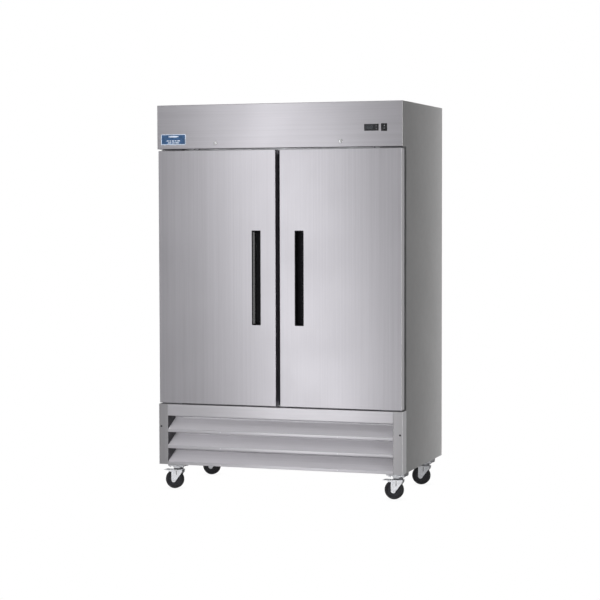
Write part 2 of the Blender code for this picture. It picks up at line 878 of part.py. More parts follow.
def shelf_racks():
    """A ladder on each side wall and a slotted strip up the middle of the back wall."""
    near, far, upright = -0.230, 0.290, 0.026
    loops = [rectangle(near, far, RACK_LOW, RACK_HIGH)]
    rungs = [RACK_LOW, *(z - 0.012 for z in SHELF_LEVELS), RACK_HIGH - 0.012]
    for low, high in zip(rungs, rungs[1:]):
        loops.append(rectangle(near + upright, far - upright, low + 0.012, high))
    deep = 0.010
    x = CAVITY_X - GAP - LINER - GAP - deep / 2
    for side, label in ((-1, "left"), (1, "right")):
        place(outline(loops, deep, "YZ", (side * x, 0, 0)), f"shelf_rack_{label}", "zinc")
    slots, slot_half = 8, 0.003
    pitch = (RACK_HIGH - RACK_LOW) / slots
    loops = [rectangle(-0.015, 0.015, RACK_LOW, RACK_HIGH)]
    for i in range(slots):
        z = RACK_LOW + (i + 0.5) * pitch
        loops.append(rectangle(-slot_half, slot_half, z - 0.010, z + 0.010))
    y = CAVITY_BACK - GAP - LINER - GAP - 0.004
    place(outline(loops, 0.008, "XZ", (0, y, 0)), "shelf_strip_rear", "zinc")


def evaporator():
    """A ceiling tray around the cooling coil, with two fans blowing out of its front."""
    middle = (EVAP_FRONT + EVAP_BACK) / 2
    deep = EVAP_TOP - EVAP_BOTTOM
    loop = rectangle(-EVAP_X, EVAP_X, EVAP_FRONT, EVAP_BACK)
    tray = outline([loop], deep, "XY", (0, 0, (EVAP_TOP + EVAP_BOTTOM) / 2), fill="BACK")
    wall = tray.modifiers.new("sheet", "SOLIDIFY")
    wall.thickness = 0.0015
    wall.offset = -1
    wall.use_even_offset = True
    fan_z = (EVAP_TOP + EVAP_BOTTOM) / 2
    for side in (-1, 1):
        hole = (side * EVAP_FAN_X, EVAP_FRONT, fan_z)
        cut(tray, rod(hole, EVAP_FAN_RADIUS + 0.004, 0.02, Y_AXIS, 32))
    intake = block(
        (-0.40, middle + 0.16, EVAP_BOTTOM - 0.01), (0.40, middle + 0.23, EVAP_BOTTOM + 0.01)
    )
    place(cut(tray, intake), "evaporator_cover", "aluminium")
    coil = fin_block(0.400, 16, (EVAP_BOTTOM + 0.016, EVAP_TOP - 0.016), (0.020, 0.190))
    place(coil, "evaporator_coil", "fin")
    for side, label in ((-1, "left"), (1, "right")):
        fan = axial_fan(EVAP_FAN_RADIUS, 0.018, 0.022)
        fan.location = (side * EVAP_FAN_X, EVAP_FRONT + 0.018, fan_z)
        place(fan, f"evaporator_fan_{label}", "black")


def fin_block(half_x, fins, z_range, y_range):
    """A heat exchanger: fins standing on a continuous back plate, as one comb outline."""
    front, back = y_range
    root = back - 0.012
    pitch = 2 * half_x / fins
    thick = pitch * 0.55
    loop = []
    for i in range(fins):
        x = -half_x + i * pitch
        loop += [(x, root if i else front), (x, front), (x + thick, front), (x + thick, root)]
    loop = loop[1:-1] + [(half_x - pitch + thick, back), (-half_x, back)]
    low, high = z_range
    return outline([loop], high - low, "XY", (0, 0, (low + high) / 2))


def axial_fan(radius, hub_radius, length, blades=5):
    """A hub with pitched blades, about an axis along Y through its origin."""
    fan = rod((0, 0, 0), hub_radius, length, Y_AXIS, 16)
    for i in range(blades):
        blade = block((hub_radius * 0.7, -length * 0.45, -0.0012), (radius, length * 0.45, 0.0012))
        turn = Matrix.Rotation(2 * math.pi * i / blades, 4, "Y")
        twist = Matrix.Rotation(math.radians(52), 4, "X")
        blade.matrix_world = turn @ twist @ Matrix.Translation(blade.location)
        hang_on(blade, fan)
        join(fan, blade)
    return fan


def hang_on(blade, fan):
    """Let a blade cutter follow its fan's hub."""
    blade.parent = fan
    blade.matrix_parent_inverse = Matrix(fan.rotation_euler.to_matrix().to_4x4()).inverted()


# ---- machine compartment --------------------------------------------------------
def condensing_unit():
    """Compressor, condenser coil, shroud and fan, standing on the compartment floor."""
    floor = BASE_Z + 0.002 + GAP
    can = [
        (0.0, 0.205),
        (0.045, 0.200),
        (0.075, 0.180),
        (0.088, 0.145),
        (0.088, 0.110),
        (0.092, 0.108),
        (0.092, 0.098),
        (0.088, 0.096),
        (0.088, 0.040),
        (0.070, 0.014),
        (0.0, 0.010),
    ]
    compressor = turned(can, 20, (0, 0, 0), (0.330, 0.080, floor))
    foot = block((0.215, -0.010, floor), (0.445, 0.170, floor + 0.018))
    place(join(compressor, foot), "compressor", "compressor")
    coil = fin_block(COIL_HALF, 14, (floor, COIL_TOP), (-0.215, -0.160))
    coil.location.x = FAN_X
    place(coil, "condenser_coil", "fin")
    half = COIL_HALF - 0.005
    loop = rectangle(FAN_X - half, FAN_X + half, floor, COIL_TOP)
    shroud = pan(loop, 0.050, -0.1595, 0.0015)
    hole = rod((FAN_X, -0.155, FAN_Z), FAN_RADIUS + 0.006, 0.04, Y_AXIS, 32)
    place(cut(shroud, hole), "condenser_shroud", "galvanised")
    fan = axial_fan(FAN_RADIUS, 0.024, 0.030)
    fan.location = (FAN_X, -0.135, FAN_Z)
    place(fan, "condenser_fan", "black")


# ---- casters --------------------------------------------------------------------
def caster_places():
    return {
        "front_left": (-SWIVEL_X, SWIVEL_FRONT),
        "front_right": (SWIVEL_X, SWIVEL_FRONT),
        "rear_left": (-SWIVEL_X, SWIVEL_REAR),
        "rear_right": (SWIVEL_X, SWIVEL_REAR),
    }


def fork_leg():
    """The leg's outline about the swivel axis: wide at the crown, round about the axle."""
    radius, steps = 0.014, 8
    loop = [(-0.034, CROWN_TOP - 0.0005), (-0.034, 0.094)]
    for i in range(steps + 1):
        angle = math.pi + math.pi * i / steps * 0.94
        loop.append(
            (-TRAIL + radius * math.cos(angle), WHEEL_RADIUS + radius * math.sin(angle) - 0.003)
        )
    loop += [(0.029, 0.092), (0.029, CROWN_TOP - 0.0005)]
    return loop


def fork(label, x, y):
    """Lower ball race, crown plate, two legs and the axle bolt, turning on the swivel axis."""
    race = rod((x, y, (RACE_BOTTOM + CROWN_TOP) / 2 - 0.0005), 0.0265, 0.0072)
    half_y = LEG_INNER + LEG_SHEET / 2
    crown = block((x - 0.033, y - half_y, CROWN_BOTTOM), (x + 0.028, y + half_y, CROWN_TOP))
    legs = [
        outline([fork_leg()], LEG_SHEET, "XZ", (x, y + s * half_y, 0))
        for s in (-1, 1)
    ]
    axle = rod((x - TRAIL, y, WHEEL_RADIUS), AXLE_RADIUS, 0.052, Y_AXIS, 12)
    ends = [
        rod((x - TRAIL, y + s * 0.0235, WHEEL_RADIUS), 0.0075, 0.005, Y_AXIS, 6) for s in (-1, 1)
    ]
    place(join(race, crown, *legs, axle, *ends), f"caster_fork_{label}", "zinc")


def wheel(label, x, y):
    """Tyre and hub in one turned shape, with a flat facet under it at rest."""
    rim = WHEEL_RADIUS / math.cos(math.pi / WHEEL_STEPS)
    bore = AXLE_RADIUS + 0.0005
    half = [
        (0.011, HUB_HALF),
        (0.012, 0.0125),
        (0.033, 0.0125),
        (0.036, WHEEL_HALF),
        (rim - 0.004, WHEEL_HALF),
        (rim, WHEEL_HALF - 0.004),
    ]
    profile = [(bore, HUB_HALF), *half, *((r, -z) for r, z in reversed(half)), (bore, -HUB_HALF)]
    rotation = (math.pi / 2, math.pi / WHEEL_STEPS, 0)
    tyre = turned(profile, WHEEL_STEPS, rotation, (x - TRAIL, y, WHEEL_RADIUS))
    place(tyre, f"caster_wheel_{label}", "rubber")


def brake_pedal(label, x, y):
    """A foot plate behind the wheel with an arm outside each leg, on a cross pivot."""
    arm_inner = LEG_INNER + LEG_SHEET + 0.0005
    arm_outer = arm_inner + 0.002
    tread = block(
        (x - 0.079, y - arm_outer, 0.1006), (x - 0.048, y + arm_outer, 0.1030), 0.0008
    )
    arms = []
    for s in (-1, 1):
        near, far = sorted((y + s * arm_inner, y + s * arm_outer))
        arms.append(block((x - 0.052, near, 0.0930), (x + PEDAL_X + 0.006, far, 0.1022)))
    pedal = join(tread, *arms)
    pedal.data.transform(Matrix.Translation(pedal.location - Vector((x + PEDAL_X, y, PEDAL_Z))))
    pedal.location = (x + PEDAL_X, y, PEDAL_Z)
    place(pedal, f"brake_pedal_{label}", "zinc")


def casters():
    for label, (x, y) in caster_places().items():
        fork(label, x, y)
        wheel(label, x, y)
        if label.startswith("front"):
            brake_pedal(label, x, y)


# ---- the whole object -------------------------------------------------------------
def build():
    top_panel()
    rear_panel()
    insulation()
    inner_liner()
    center_mullion()
    header_panel()
    louver_grille()
    base_frame()
    badge()
    controller()
    power_switch()
    for side, label in ((-1, "left"), (1, "right")):
        side_panel(side, f"side_panel_{label}")
        lock(side, f"lock_plug_{label}")
        hinge_bracket(side, True, f"hinge_top_{label}")
        hinge_bracket(side, False, f"hinge_bottom_{label}")
        door(side, label)
    shelves()
    shelf_racks()
    evaporator()
    condensing_unit()
    power_inlet()
    casters()


build()
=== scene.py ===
"""Looks for the two-door reach-in refrigerator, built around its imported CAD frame."""

import math

import bmesh
import bpy
from mathutils import Matrix, Vector

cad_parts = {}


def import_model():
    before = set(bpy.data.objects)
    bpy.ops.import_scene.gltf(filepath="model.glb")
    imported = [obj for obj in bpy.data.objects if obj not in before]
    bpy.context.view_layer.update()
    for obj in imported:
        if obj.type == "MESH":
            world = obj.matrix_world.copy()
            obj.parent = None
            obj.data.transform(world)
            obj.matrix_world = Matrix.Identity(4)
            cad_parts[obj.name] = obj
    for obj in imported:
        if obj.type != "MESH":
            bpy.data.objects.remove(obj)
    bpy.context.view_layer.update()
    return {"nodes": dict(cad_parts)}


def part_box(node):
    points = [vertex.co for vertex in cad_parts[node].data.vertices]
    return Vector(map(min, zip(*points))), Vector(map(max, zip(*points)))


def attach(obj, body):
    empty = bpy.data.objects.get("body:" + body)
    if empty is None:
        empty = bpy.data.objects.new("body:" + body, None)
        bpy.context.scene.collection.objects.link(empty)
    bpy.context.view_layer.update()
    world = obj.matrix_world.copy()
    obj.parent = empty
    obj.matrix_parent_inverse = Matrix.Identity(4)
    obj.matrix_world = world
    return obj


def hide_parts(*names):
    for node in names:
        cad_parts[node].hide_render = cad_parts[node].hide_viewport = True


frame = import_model()

# ---- dimensions shared with the CAD, in metres
SIDE = 0.6858
FRONT = -0.4044
FACE = FRONT + 0.0724
BACK = 0.4084
HEIGHT = 2.089
BASE_Z = 0.1495
GAP = 0.0003
TRIM = 0.0015
HEADER_BOTTOM = 1.854
DOOR_TOP = 1.845
DOOR_BOTTOM = 0.4845
DOOR_INNER = 0.012
DOOR_OUTER = 0.680
DOOR_RETURN = 0.053
DOOR_DEPTH = 0.055
GRILLE_TOP = 0.478
RAIL_BOTTOM = 0.414
STILE_INNER = 0.634
HINGE_X = 0.660
HINGE_Y = FRONT + 0.028
LOCK_X = 0.350
LOCK_Z = 1.884
CAM_REACH = 0.045
HANDLE = (0.0957, 0.1452, 0.915, 1.418)  # low x, high x, low z, high z
HANDLE_DEPTH = 0.034
BADGE = (-0.6625, -0.520, 1.877, 1.9335)
DISPLAY = (0.4787, 0.5563, 1.9356, 1.9706)
SWITCH = (0.5694, 0.6024, 1.933, 1.973)
SWIVEL_X = 0.626
SWIVEL_FRONT = FRONT + 0.130
SWIVEL_REAR = FRONT + 0.680
TRAIL = 0.022
WHEEL_RADIUS = 0.0508
SIDES = ((-1, "left"), (1, "right"))
SMOOTH = math.radians(35)
BACKWARD = Vector((0, 1, 0))
UPWARD = Vector((0, 0, 1))


def new_object(name, data):
    obj = bpy.data.objects.new(name, data)
    bpy.context.scene.collection.objects.link(obj)
    return obj


# ---- camera
def camera():
    yaw, pitch, roll = 0.3288, 0.0502, -0.0024
    forward = Vector(
        (-math.sin(yaw) * math.cos(pitch), math.cos(yaw) * math.cos(pitch), -math.sin(pitch))
    )
    level = Vector((math.cos(yaw), math.sin(yaw), 0))
    up = level.cross(forward)
    right = level * math.cos(roll) + up * math.sin(roll)
    up = right.cross(forward)
    data = bpy.data.cameras.new("camera")
    data.lens = 109.66
    data.sensor_width = 36
    data.clip_start = 0.1
    data.clip_end = 100
    obj = new_object("camera", data)
    place = Matrix((right, up, -forward)).transposed().to_4x4()
    obj.matrix_world = Matrix.Translation((3.2312, -9.5092, 1.5358)) @ place
    bpy.context.scene.camera = obj


# ---- materials
def set_input(tree, node, name, value):
    """Give a node's input a value, or another node's output."""
    if isinstance(value, bpy.types.NodeSocket):
        tree.links.new(value, node.inputs[name])
    else:
        node.inputs[name].default_value = value


def new_node(tree, kind, output, inputs, **settings):
    """Add a shader node and return one of its outputs."""
    node = tree.nodes.new("ShaderNode" + kind)
    for name, value in settings.items():
        setattr(node, name, value)
    for name, value in inputs.items():
        set_input(tree, node, name, value)
    return node.outputs[output]


class Look:
    """A Principled material whose colour, roughness and relief come from solid noise."""

    def __init__(self, name, colour, roughness, metallic=0.0):
        self.material = bpy.data.materials.new(name)
        self.material.use_nodes = True
        self.tree = self.material.node_tree
        self.shader = self.tree.nodes["Principled BSDF"]
        self.set("Base Color", (*colour, 1))
        self.set("Roughness", roughness)
        self.set("Metallic", metallic)
        self.coords = self.node("TexCoord", "Object", {})
        self.colour = colour
        self.relief = None

    def set(self, name, value):
        set_input(self.tree, self.shader, name, value)

    def node(self, kind, output, inputs, **settings):
        return new_node(self.tree, kind, output, inputs, **settings)

    def noise(self, scale, detail):
        """Noise whose scale is one number, or three for a grain that runs along one axis."""
        coords = self.coords
        if isinstance(scale, tuple):
            coords = self.node("Mapping", "Vector", {"Vector": coords, "Scale": scale})
            scale = 1.0
        return self.node("TexNoise", "Fac", {"Vector": coords, "Scale": scale, "Detail": detail})

    def cells(self, scale):
        return self.node("TexVoronoi", "Color", {"Vector": self.coords, "Scale": scale})

    def spread(self, value, low, high, start=0.3, end=0.7):
        limits = {"From Min": start, "From Max": end, "To Min": low, "To Max": high}
        return self.node("MapRange", "Result", {"Value": value, **limits})

    def blend(self, value, dark, light):
        colour = self.node("ValToRGB", "Color", {"Fac": value})
        stops = colour.node.color_ramp.elements
        for stop, position, shade in zip(stops, (0.3, 0.7), (dark, light)):
            stop.position = position
            stop.color = (*shade, 1)
        return colour

    def multiply(self, first, second):
        inputs = {"Factor": 1.0, "A": first, "B": second}
        return self.node("Mix", "Result", inputs, data_type="RGBA", blend_type="MULTIPLY")

    def average(self, first, second):
        return self.node("Mix", "Result", {"Factor": 0.5, "A": first, "B": second})

    def paint(self, colour):
        self.set("Base Color", colour)

    def gloss(self, value):
        self.set("Roughness", value)

    def bump(self, height, distance, strength=1.0):
        inputs = {"Distance": distance, "Strength": strength, "Height": height}
        if self.relief:
            inputs["Normal"] = self.relief
        self.relief = self.node("Bump", "Normal", inputs)
        self.set("Normal", self.relief)

    def tones(self, amount):
        """The base colour, darkened and lightened by a share."""
        return [tuple(min(1.0, c * (1 + s * amount)) for c in self.colour) for s in (-1, 1)]


def grain(axis, across, along):
    return tuple(along if i == axis else across for i in range(3))


def brushed(name, axis, colour=(0.60, 0.586, 0.624), low=0.29, high=0.34, metallic=1.0):
    """Stainless sheet, brushed along one axis, with faint smudges and sheet waviness."""
    look = Look(name, colour, (low + high) / 2, metallic)
    fine = look.noise(grain(axis, 900, 5), 3)
    broad = look.noise(grain(axis, 130, 0.7), 3)
    smudge = look.noise(2.6, 3)
    look.gloss(look.spread(look.average(look.average(fine, broad), smudge), low, high, 0.4, 0.6))
    look.paint(look.multiply(look.blend(broad, *look.tones(0.035)), look.blend(fine, (0.93,) * 3, (1,) * 3)))
    look.bump(look.noise(1.3, 1), 0.0009)
    look.bump(fine, 0.00002, 0.5)
    return look.material


def sheet_metal(name, colour, low, high, spangle=0.04, scale=55):
    """Plain galvanised or aluminium sheet with a faint crystal pattern."""
    look = Look(name, colour, (low + high) / 2, 1.0)
    crystals = look.cells(scale)
    drift = look.noise(3.0, 3)
    crystals = look.blend(crystals, *look.tones(spangle))
    look.paint(look.multiply(crystals, look.blend(drift, (0.94,) * 3, (1,) * 3)))
    look.gloss(look.spread(look.noise(38, 3), low, high))
    look.bump(look.noise(1.6, 1), 0.0008)
    look.bump(look.noise(420, 2), 0.00003)
    return look.material


def plated(name, colour, low, high, metallic=1.0):
    """Zinc or chrome plating with a little clouding and dust."""
    look = Look(name, colour, (low + high) / 2, metallic)
    cloud = look.noise(90, 4)
    look.paint(look.blend(cloud, *look.tones(0.09)))
    look.gloss(look.spread(look.noise(260, 3), low, high))
    look.bump(look.noise(700, 2), 0.00003)
    return look.material


def moulded(name, colour, low, high, texture=900, relief=0.00004, mottle=0.25, specular=0.5):
    """Moulded plastic, rubber or paint with a fine texture and slight mottling."""
    look = Look(name, colour, (low + high) / 2)
    look.set("Specular IOR Level", specular)
    look.paint(look.blend(look.noise(60, 4), *look.tones(mottle)))
    look.gloss(look.spread(look.noise(140, 3), low, high))
    look.bump(look.noise(texture, 2), relief)
    return look.material


def materials():
    return {
        "steel_up": brushed("steel_vertical", 2),
        "steel_level": brushed("steel_horizontal", 0),
        "steel_blade": brushed("steel_louvre", 0, (0.64, 0.625, 0.66), 0.36, 0.42, 0.1),
        "steel_rail": brushed("steel_rail", 0, (0.65, 0.635, 0.67), 0.30, 0.35, 0.86),
        # A paler, mostly diffuse copy of the vertical steel for the outer folds: a painted highlight standing
        # in for side light.
        "steel_painted_highlight": brushed("steel_painted_highlight", 2, (0.84, 0.83, 0.85), 0.34, 0.40, 0.2),
        # A darker copy of the vertical steel for the grille stiles: painted shade.
        "steel_stile_painted_shade": brushed("steel_stile_painted_shade", 2, (0.55, 0.54, 0.56)),
        "breaker": moulded("breaker_vinyl", (0.030, 0.030, 0.034), 0.4, 0.5),
        "side": sheet_metal("side_sheet", (0.535, 0.53, 0.53), 0.32, 0.36, 0.012, 30),
        "galvanised": sheet_metal("galvanised_sheet", (0.58, 0.59, 0.61), 0.34, 0.48, 0.10),
        "liner": sheet_metal("liner_aluminium", (0.74, 0.75, 0.77), 0.30, 0.42, 0.02, 120),
        "zinc": plated("zinc_plate", (0.82, 0.83, 0.86), 0.26, 0.38, 0.35),
        # A darker copy of the zinc plating: painted shade for the hinge brackets in the door gaps, the caster
        # races and the shaded sides of the caster pads.
        "plate": plated("zinc_painted_shade", (0.40, 0.40, 0.42), 0.35, 0.5),
        "chrome": plated("chrome_plate", (0.90, 0.90, 0.92), 0.08, 0.2),
        "wire": moulded("shelf_coating", (0.80, 0.81, 0.82), 0.25, 0.4, 500, 0.00004, 0.05),
        "foam": moulded("foam", (0.78, 0.66, 0.40), 0.85, 0.95, 260, 0.0005, 0.10),
        "black": moulded("black_plastic", (0.012, 0.012, 0.014), 0.22, 0.34),
        "matt": moulded("black_face", (0.005, 0.005, 0.006), 0.45, 0.55, specular=0.06),
        # Dark paint for the motor, fixings and covers; the grille end plates also use it as painted shade.
        "dark": moulded("dark_paint_and_shade", (0.035, 0.034, 0.038), 0.4, 0.55),
        "rubber": moulded("wheel_rubber", (0.014, 0.014, 0.016), 0.45, 0.65, 500, 0.0001, 0.35),
        "hub": moulded("wheel_hub", (0.018, 0.018, 0.022), 0.32, 0.48),
        "gasket": moulded("gasket_vinyl", (0.060, 0.060, 0.066), 0.45, 0.6),
        "keys": moulded("key_rubber", (0.10, 0.10, 0.11), 0.5, 0.6),
        "mark": moulded("pale_print", (0.55, 0.56, 0.58), 0.4, 0.5, 900, 0.00001, 0.05),
        "badge_blue": moulded("badge_blue", (0.038, 0.090, 0.190), 0.16, 0.26, 800, 0.00002, 0.30),
        "badge_pale": moulded("badge_pale", (0.62, 0.70, 0.82), 0.2, 0.3, 800, 0.00001, 0.08),
        "screen": moulded("display_window", (0.020, 0.021, 0.024), 0.06, 0.12, 300, 0.00001, 0.2),
        "digits": moulded("display_digits", (0.10, 0.11, 0.12), 0.3, 0.4, 300, 0.00001, 0.1),
        "fins": sheet_metal("fin_aluminium", (0.66, 0.68, 0.70), 0.4, 0.55, 0.05, 200),
        "copper": plated("copper_tube", (0.72, 0.36, 0.20), 0.25, 0.45),
        "motor": moulded("compressor_paint", (0.018, 0.018, 0.020), 0.3, 0.5, 400, 0.00006, 0.4),
    }


# ---- mesh helpers
def absorb(bm, part, matrix=None):
    """Move one bmesh into another."""
    mesh = bpy.data.meshes.new("part")
    bmesh.ops.recalc_face_normals(part, faces=part.faces)
    part.to_mesh(mesh)
    part.free()
    if matrix:
        mesh.transform(matrix)
    bm.from_mesh(mesh)
    bpy.data.meshes.remove(mesh)


def cuboid(low, high):
    part = bmesh.new()
    bmesh.ops.create_cube(part, size=1.0)
    size = [h - l for l, h in zip(low, high)]
    centre = [(l + h) / 2 for l, h in zip(low, high)]
    bmesh.ops.scale(part, vec=size, verts=part.verts)
    bmesh.ops.translate(part, vec=centre, verts=part.verts)
    return part


def round_edges(part, edges, radius, segments):
    bmesh.ops.bevel(
        part, geom=edges, offset=radius, segments=segments, affect="EDGES", profile=0.5
    )


def box(bm, low, high, bevel=0.0, segments=2):
    part = cuboid(low, high)
    if bevel:
        round_edges(part, part.edges[:], bevel, segments)
    absorb(bm, part)


def mirrored(side, low, high):
    """A box's corners on either half, from those measured on the right half."""
    low_x, high_x = sorted((side * low[0], side * high[0]))
    return (low_x, *low[1:]), (high_x, *high[1:])


def side_box(bm, side, low, high, bevel=0.0, segments=2):
    box(bm, *mirrored(side, low, high), bevel, segments)


def skin(rings, closed, caps):
    """Skin between rings of points, which form a loop if closed."""
    part = bmesh.new()
    made = [[part.verts.new(p) for p in ring] for ring in rings]
    pairs = list(zip(made, made[1:]))
    if closed:
        pairs.append((made[-1], made[0]))
    for a, b in pairs:
        for i in range(len(a)):
            j = (i + 1) % len(a)
            part.faces.new((a[i], a[j], b[j], b[i]))
    if caps:
        part.faces.new(made[0])
        part.faces.new(made[-1])
    bmesh.ops.remove_doubles(part, verts=part.verts, dist=1e-6)
    return part


def loft(bm, rings, closed=False):
    """A solid through rings of points; its ends are capped unless the rings form a loop."""
    absorb(bm, skin(rings, closed, not closed))


def turns(steps):
    """Equal angles around a circle."""
    return [math.tau * i / steps for i in range(steps)]


def towards(axis):
    return Vector(axis).to_track_quat("Z", "Y").to_matrix().to_4x4()


def lathe(bm, profile, origin, axis, steps):
    """A solid of revolution from (radius, height) points; radius 0 closes an end."""
    rings = [
        [(r * math.cos(t), r * math.sin(t), height) for t in turns(steps)] for r, height in profile
    ]
    part = skin(rings, profile[0][0] > 0 and profile[-1][0] > 0, False)
    bmesh.ops.dissolve_degenerate(part, edges=part.edges, dist=1e-7)
    absorb(bm, part, Matrix.Translation(origin) @ towards(axis))


def disc(radius, height, edge):
    """The profile of a disc with a rounded upper rim."""
    arc = [
        (radius - edge + edge * math.cos(t), height - edge + edge * math.sin(t))
        for t in turns(16)[:5]
    ]
    return [(0, 0), (radius, 0), *arc, (0, height)]


def screw(bm, point, axis, radius, height=0.0018):
    """A pan head with a cross recess."""
    lathe(bm, disc(radius, height, height * 0.7), point, axis, 14)
    tip = Vector(point) + Vector(axis).normalized() * height
    for turn in (0, math.pi / 2):
        bar = Vector((radius * 1.1, radius * 0.22, 0.0003)) / 2
        part = cuboid(-bar, bar)
        absorb(bm, part, Matrix.Translation(tip) @ towards(axis) @ Matrix.Rotation(turn, 4, "Z"))


def bolt(bm, point, axis, across, height):
    """A hexagon head on a washer."""
    lathe(bm, disc(across * 1.35, 0.0012, 0.0004), point, axis, 20)
    lathe(bm, [(0, 0.001), (across, 0.001), (across, height), (across * 0.8, height + 0.001),
               (0, height + 0.001)], point, axis, 6)


def tube(bm, path, radius, sides, closed=False):
    """A round bar swept along points."""
    points = [Vector(p) for p in path]
    count = len(points)
    rings = []
    normal = None
    for i, point in enumerate(points):
        before = points[i - 1] if i or closed else points[0]
        after = points[(i + 1) % count] if i < count - 1 or closed else points[-1]
        along = (after - before).normalized()
        if normal is None:
            normal = along.orthogonal().normalized()
        else:
            normal = (normal - along * normal.dot(along)).normalized()
        other = along.cross(normal)
        rings.append(
            [point + radius * (normal * math.cos(t) + other * math.sin(t)) for t in turns(sides)]
        )
    loft(bm, rings, closed)


def rounded(low_a, high_a, low_b, high_b, radius, steps=4):
    """A rectangle with round corners, as (a, b) points."""
    points = []
    corners = (
        (high_a - radius, low_b + radius, -90),
        (high_a - radius, high_b - radius, 0),
        (low_a + radius, high_b - radius, 90),
        (low_a + radius, low_b + radius, 180),
    )
    for a, b, start in corners:
        for i in range(steps + 1):
            angle = math.radians(start + 90 * i / steps)
            points.append((a + radius * math.cos(angle), b + radius * math.sin(angle)))
    return points


def within(area, inset, radius, steps=4):
    """A round-cornered rectangle, a margin inside a (low a, high a, low b, high b) area."""
    a0, a1, b0, b1 = area
    return rounded(a0 + inset, a1 - inset, b0 + inset, b1 - inset, radius, steps)


def centred(a, b, half_a, half_b, radius, steps=4):
    return rounded(a - half_a, a + half_a, b - half_b, b + half_b, radius, steps)


def circle(a, b, radius, steps):
    return [(a + radius * math.cos(t), b + radius * math.sin(t)) for t in turns(steps)]


PLANES = {
    "XY": Matrix.Identity(4),
    "XZ": Matrix.Rotation(math.pi / 2, 4, "X"),
    "YZ": Matrix.Rotation(math.pi / 2, 4, "Z") @ Matrix.Rotation(math.pi / 2, 4, "X"),
}
OFFSETS = {"XY": (0, 0, 1), "XZ": (0, 1, 0), "YZ": (1, 0, 0)}


def placed(plane, level):
    return Matrix.Translation(Vector(OFFSETS[plane]) * level) @ PLANES[plane]


def plate(bm, loops, low, high, plane, edge=0.0):
    """A flat plate with holes, between two levels, with its edges rounded over."""
    curve = bpy.data.curves.new("plate", "CURVE")
    curve.dimensions = "2D"
    curve.fill_mode = "BOTH"
    curve.extrude = (high - low) / 2 - edge
    curve.bevel_depth = edge
    curve.bevel_resolution = 2
    curve.offset = -edge
    for loop in loops:
        spline = curve.splines.new("POLY")
        spline.points.add(len(loop) - 1)
        for point, (a, b) in zip(spline.points, loop):
            point.co = (a, b, 0, 1)
        spline.use_cyclic_u = True
    obj = bpy.data.objects.new("plate", curve)
    mesh = bpy.data.meshes.new_from_object(obj)
    part = bmesh.new()
    part.from_mesh(mesh)
    bmesh.ops.remove_doubles(part, verts=part.verts, dist=1e-5)
    absorb(bm, part, placed(plane, (low + high) / 2))
    bpy.data.objects.remove(obj)
    bpy.data.curves.remove(curve)
    bpy.data.meshes.remove(mesh)


def fillet(points, radius):
    """A line of 2D points with its corners rounded."""
    steps = 4
    points = [Vector(p) for p in points]
    out = [points[0]]
    for before, at, after in zip(points, points[1:], points[2:]):
        into, away = (before - at).normalized(), (after - at).normalized()
        angle = into.angle(away)
        reach = radius / math.tan(angle / 2)
        centre = at + (into + away).normalized() * radius / math.sin(angle / 2)
        start, end = at + into * reach - centre, at + away * reach - centre
        sweep = start.angle(end)
        for i in range(steps + 1):
            t = i / steps
            weights = math.sin((1 - t) * sweep), math.sin(t * sweep)
            out.append(centre + (start * weights[0] + end * weights[1]) / math.sin(sweep))
    out.append(points[-1])
    return out


def folded(bm, points, radius, thickness, low, high, plane):
    """Bent sheet: a line of 2D points given a thickness and run between two levels."""
    line = fillet(points, radius)
    left, right = [], []
    for i, point in enumerate(line):
        before, after = line[max(i - 1, 0)], line[min(i + 1, len(line) - 1)]
        along = (after - before).normalized()
        out = Vector((-along.y, along.x)) * thickness / 2
        left.append(point + out)
        right.append(point - out)
    shape = left + right[::-1]
    rings = []
    for level in (low, high):
        rings.append([placed(plane, level) @ Vector((p.x, p.y, 0)) for p in shape])
    loft(bm, rings)


def object_from(name, bm):
    mesh = bpy.data.meshes.new(name)
    bm.to_mesh(mesh)
    bm.free()
    return new_object(name, mesh)


def cut(obj, *cutters):
    """Take closed shapes out of an object for good."""
    for tool in cutters:
        step = obj.modifiers.new("cut", "BOOLEAN")
        step.operation = "DIFFERENCE"
        step.solver = "EXACT"
        step.object = tool
    freeze(obj)
    for tool in cutters:
        mesh = tool.data
        bpy.data.objects.remove(tool)
        bpy.data.meshes.remove(mesh)


def freeze(obj):
    """Replace an object's mesh with what its modifiers make of it."""
    bpy.context.view_layer.update()
    graph = bpy.context.evaluated_depsgraph_get()
    mesh = bpy.data.meshes.new_from_object(obj.evaluated_get(graph))
    old = obj.data
    obj.modifiers.clear()
    obj.data = mesh
    bpy.data.meshes.remove(old)
    mesh.name = obj.name


def finish(obj, look, slot=None, replaces=(), body="cabinet"):
    """Shade a piece, give it its material and let it ride on its body."""
    obj.data.materials.clear()
    obj.data.materials.append(LOOKS[look])
    obj.data.shade_smooth()
    obj.data.set_sharp_from_angle(angle=SMOOTH)
    flat = obj.modifiers.new("normals", "WEIGHTED_NORMAL")
    flat.keep_sharp = True
    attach(obj, body)
    if replaces:
        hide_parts(*replaces)
    return obj


def second_look(obj, look, chosen):
    """Give the faces picked by a test their own material."""
    obj.data.materials.append(LOOKS[look])
    for face in obj.data.polygons:
        if chosen(face):
            face.material_index = 1


def brighten_returns(obj, edge):
    """Give the folds at the far left and right a paler copy of the steel: a painted highlight for steel lit
    from the side.
    """
    second_look(
        obj,
        "steel_painted_highlight",
        lambda face: abs(face.normal.x) > 0.5 and abs(face.center.x) > edge,
    )


def piece(name, bm, look, *riding):
    return finish(object_from(name, bm), look, *riding)


def cutter_box(low, high):
    bm = bmesh.new()
    box(bm, low, high)
    return object_from("cutter", bm)


def cutter_rod(centre, radius, length, axis=BACKWARD):
    bm = bmesh.new()
    start = Vector(centre) - Vector(axis) * length / 2
    lathe(bm, [(0, 0), (radius, 0), (radius, length), (0, length)], start, axis, 32)
    return object_from("cutter", bm)


def side_cutter(side, low, high):
    return cutter_box(*mirrored(side, low, high))


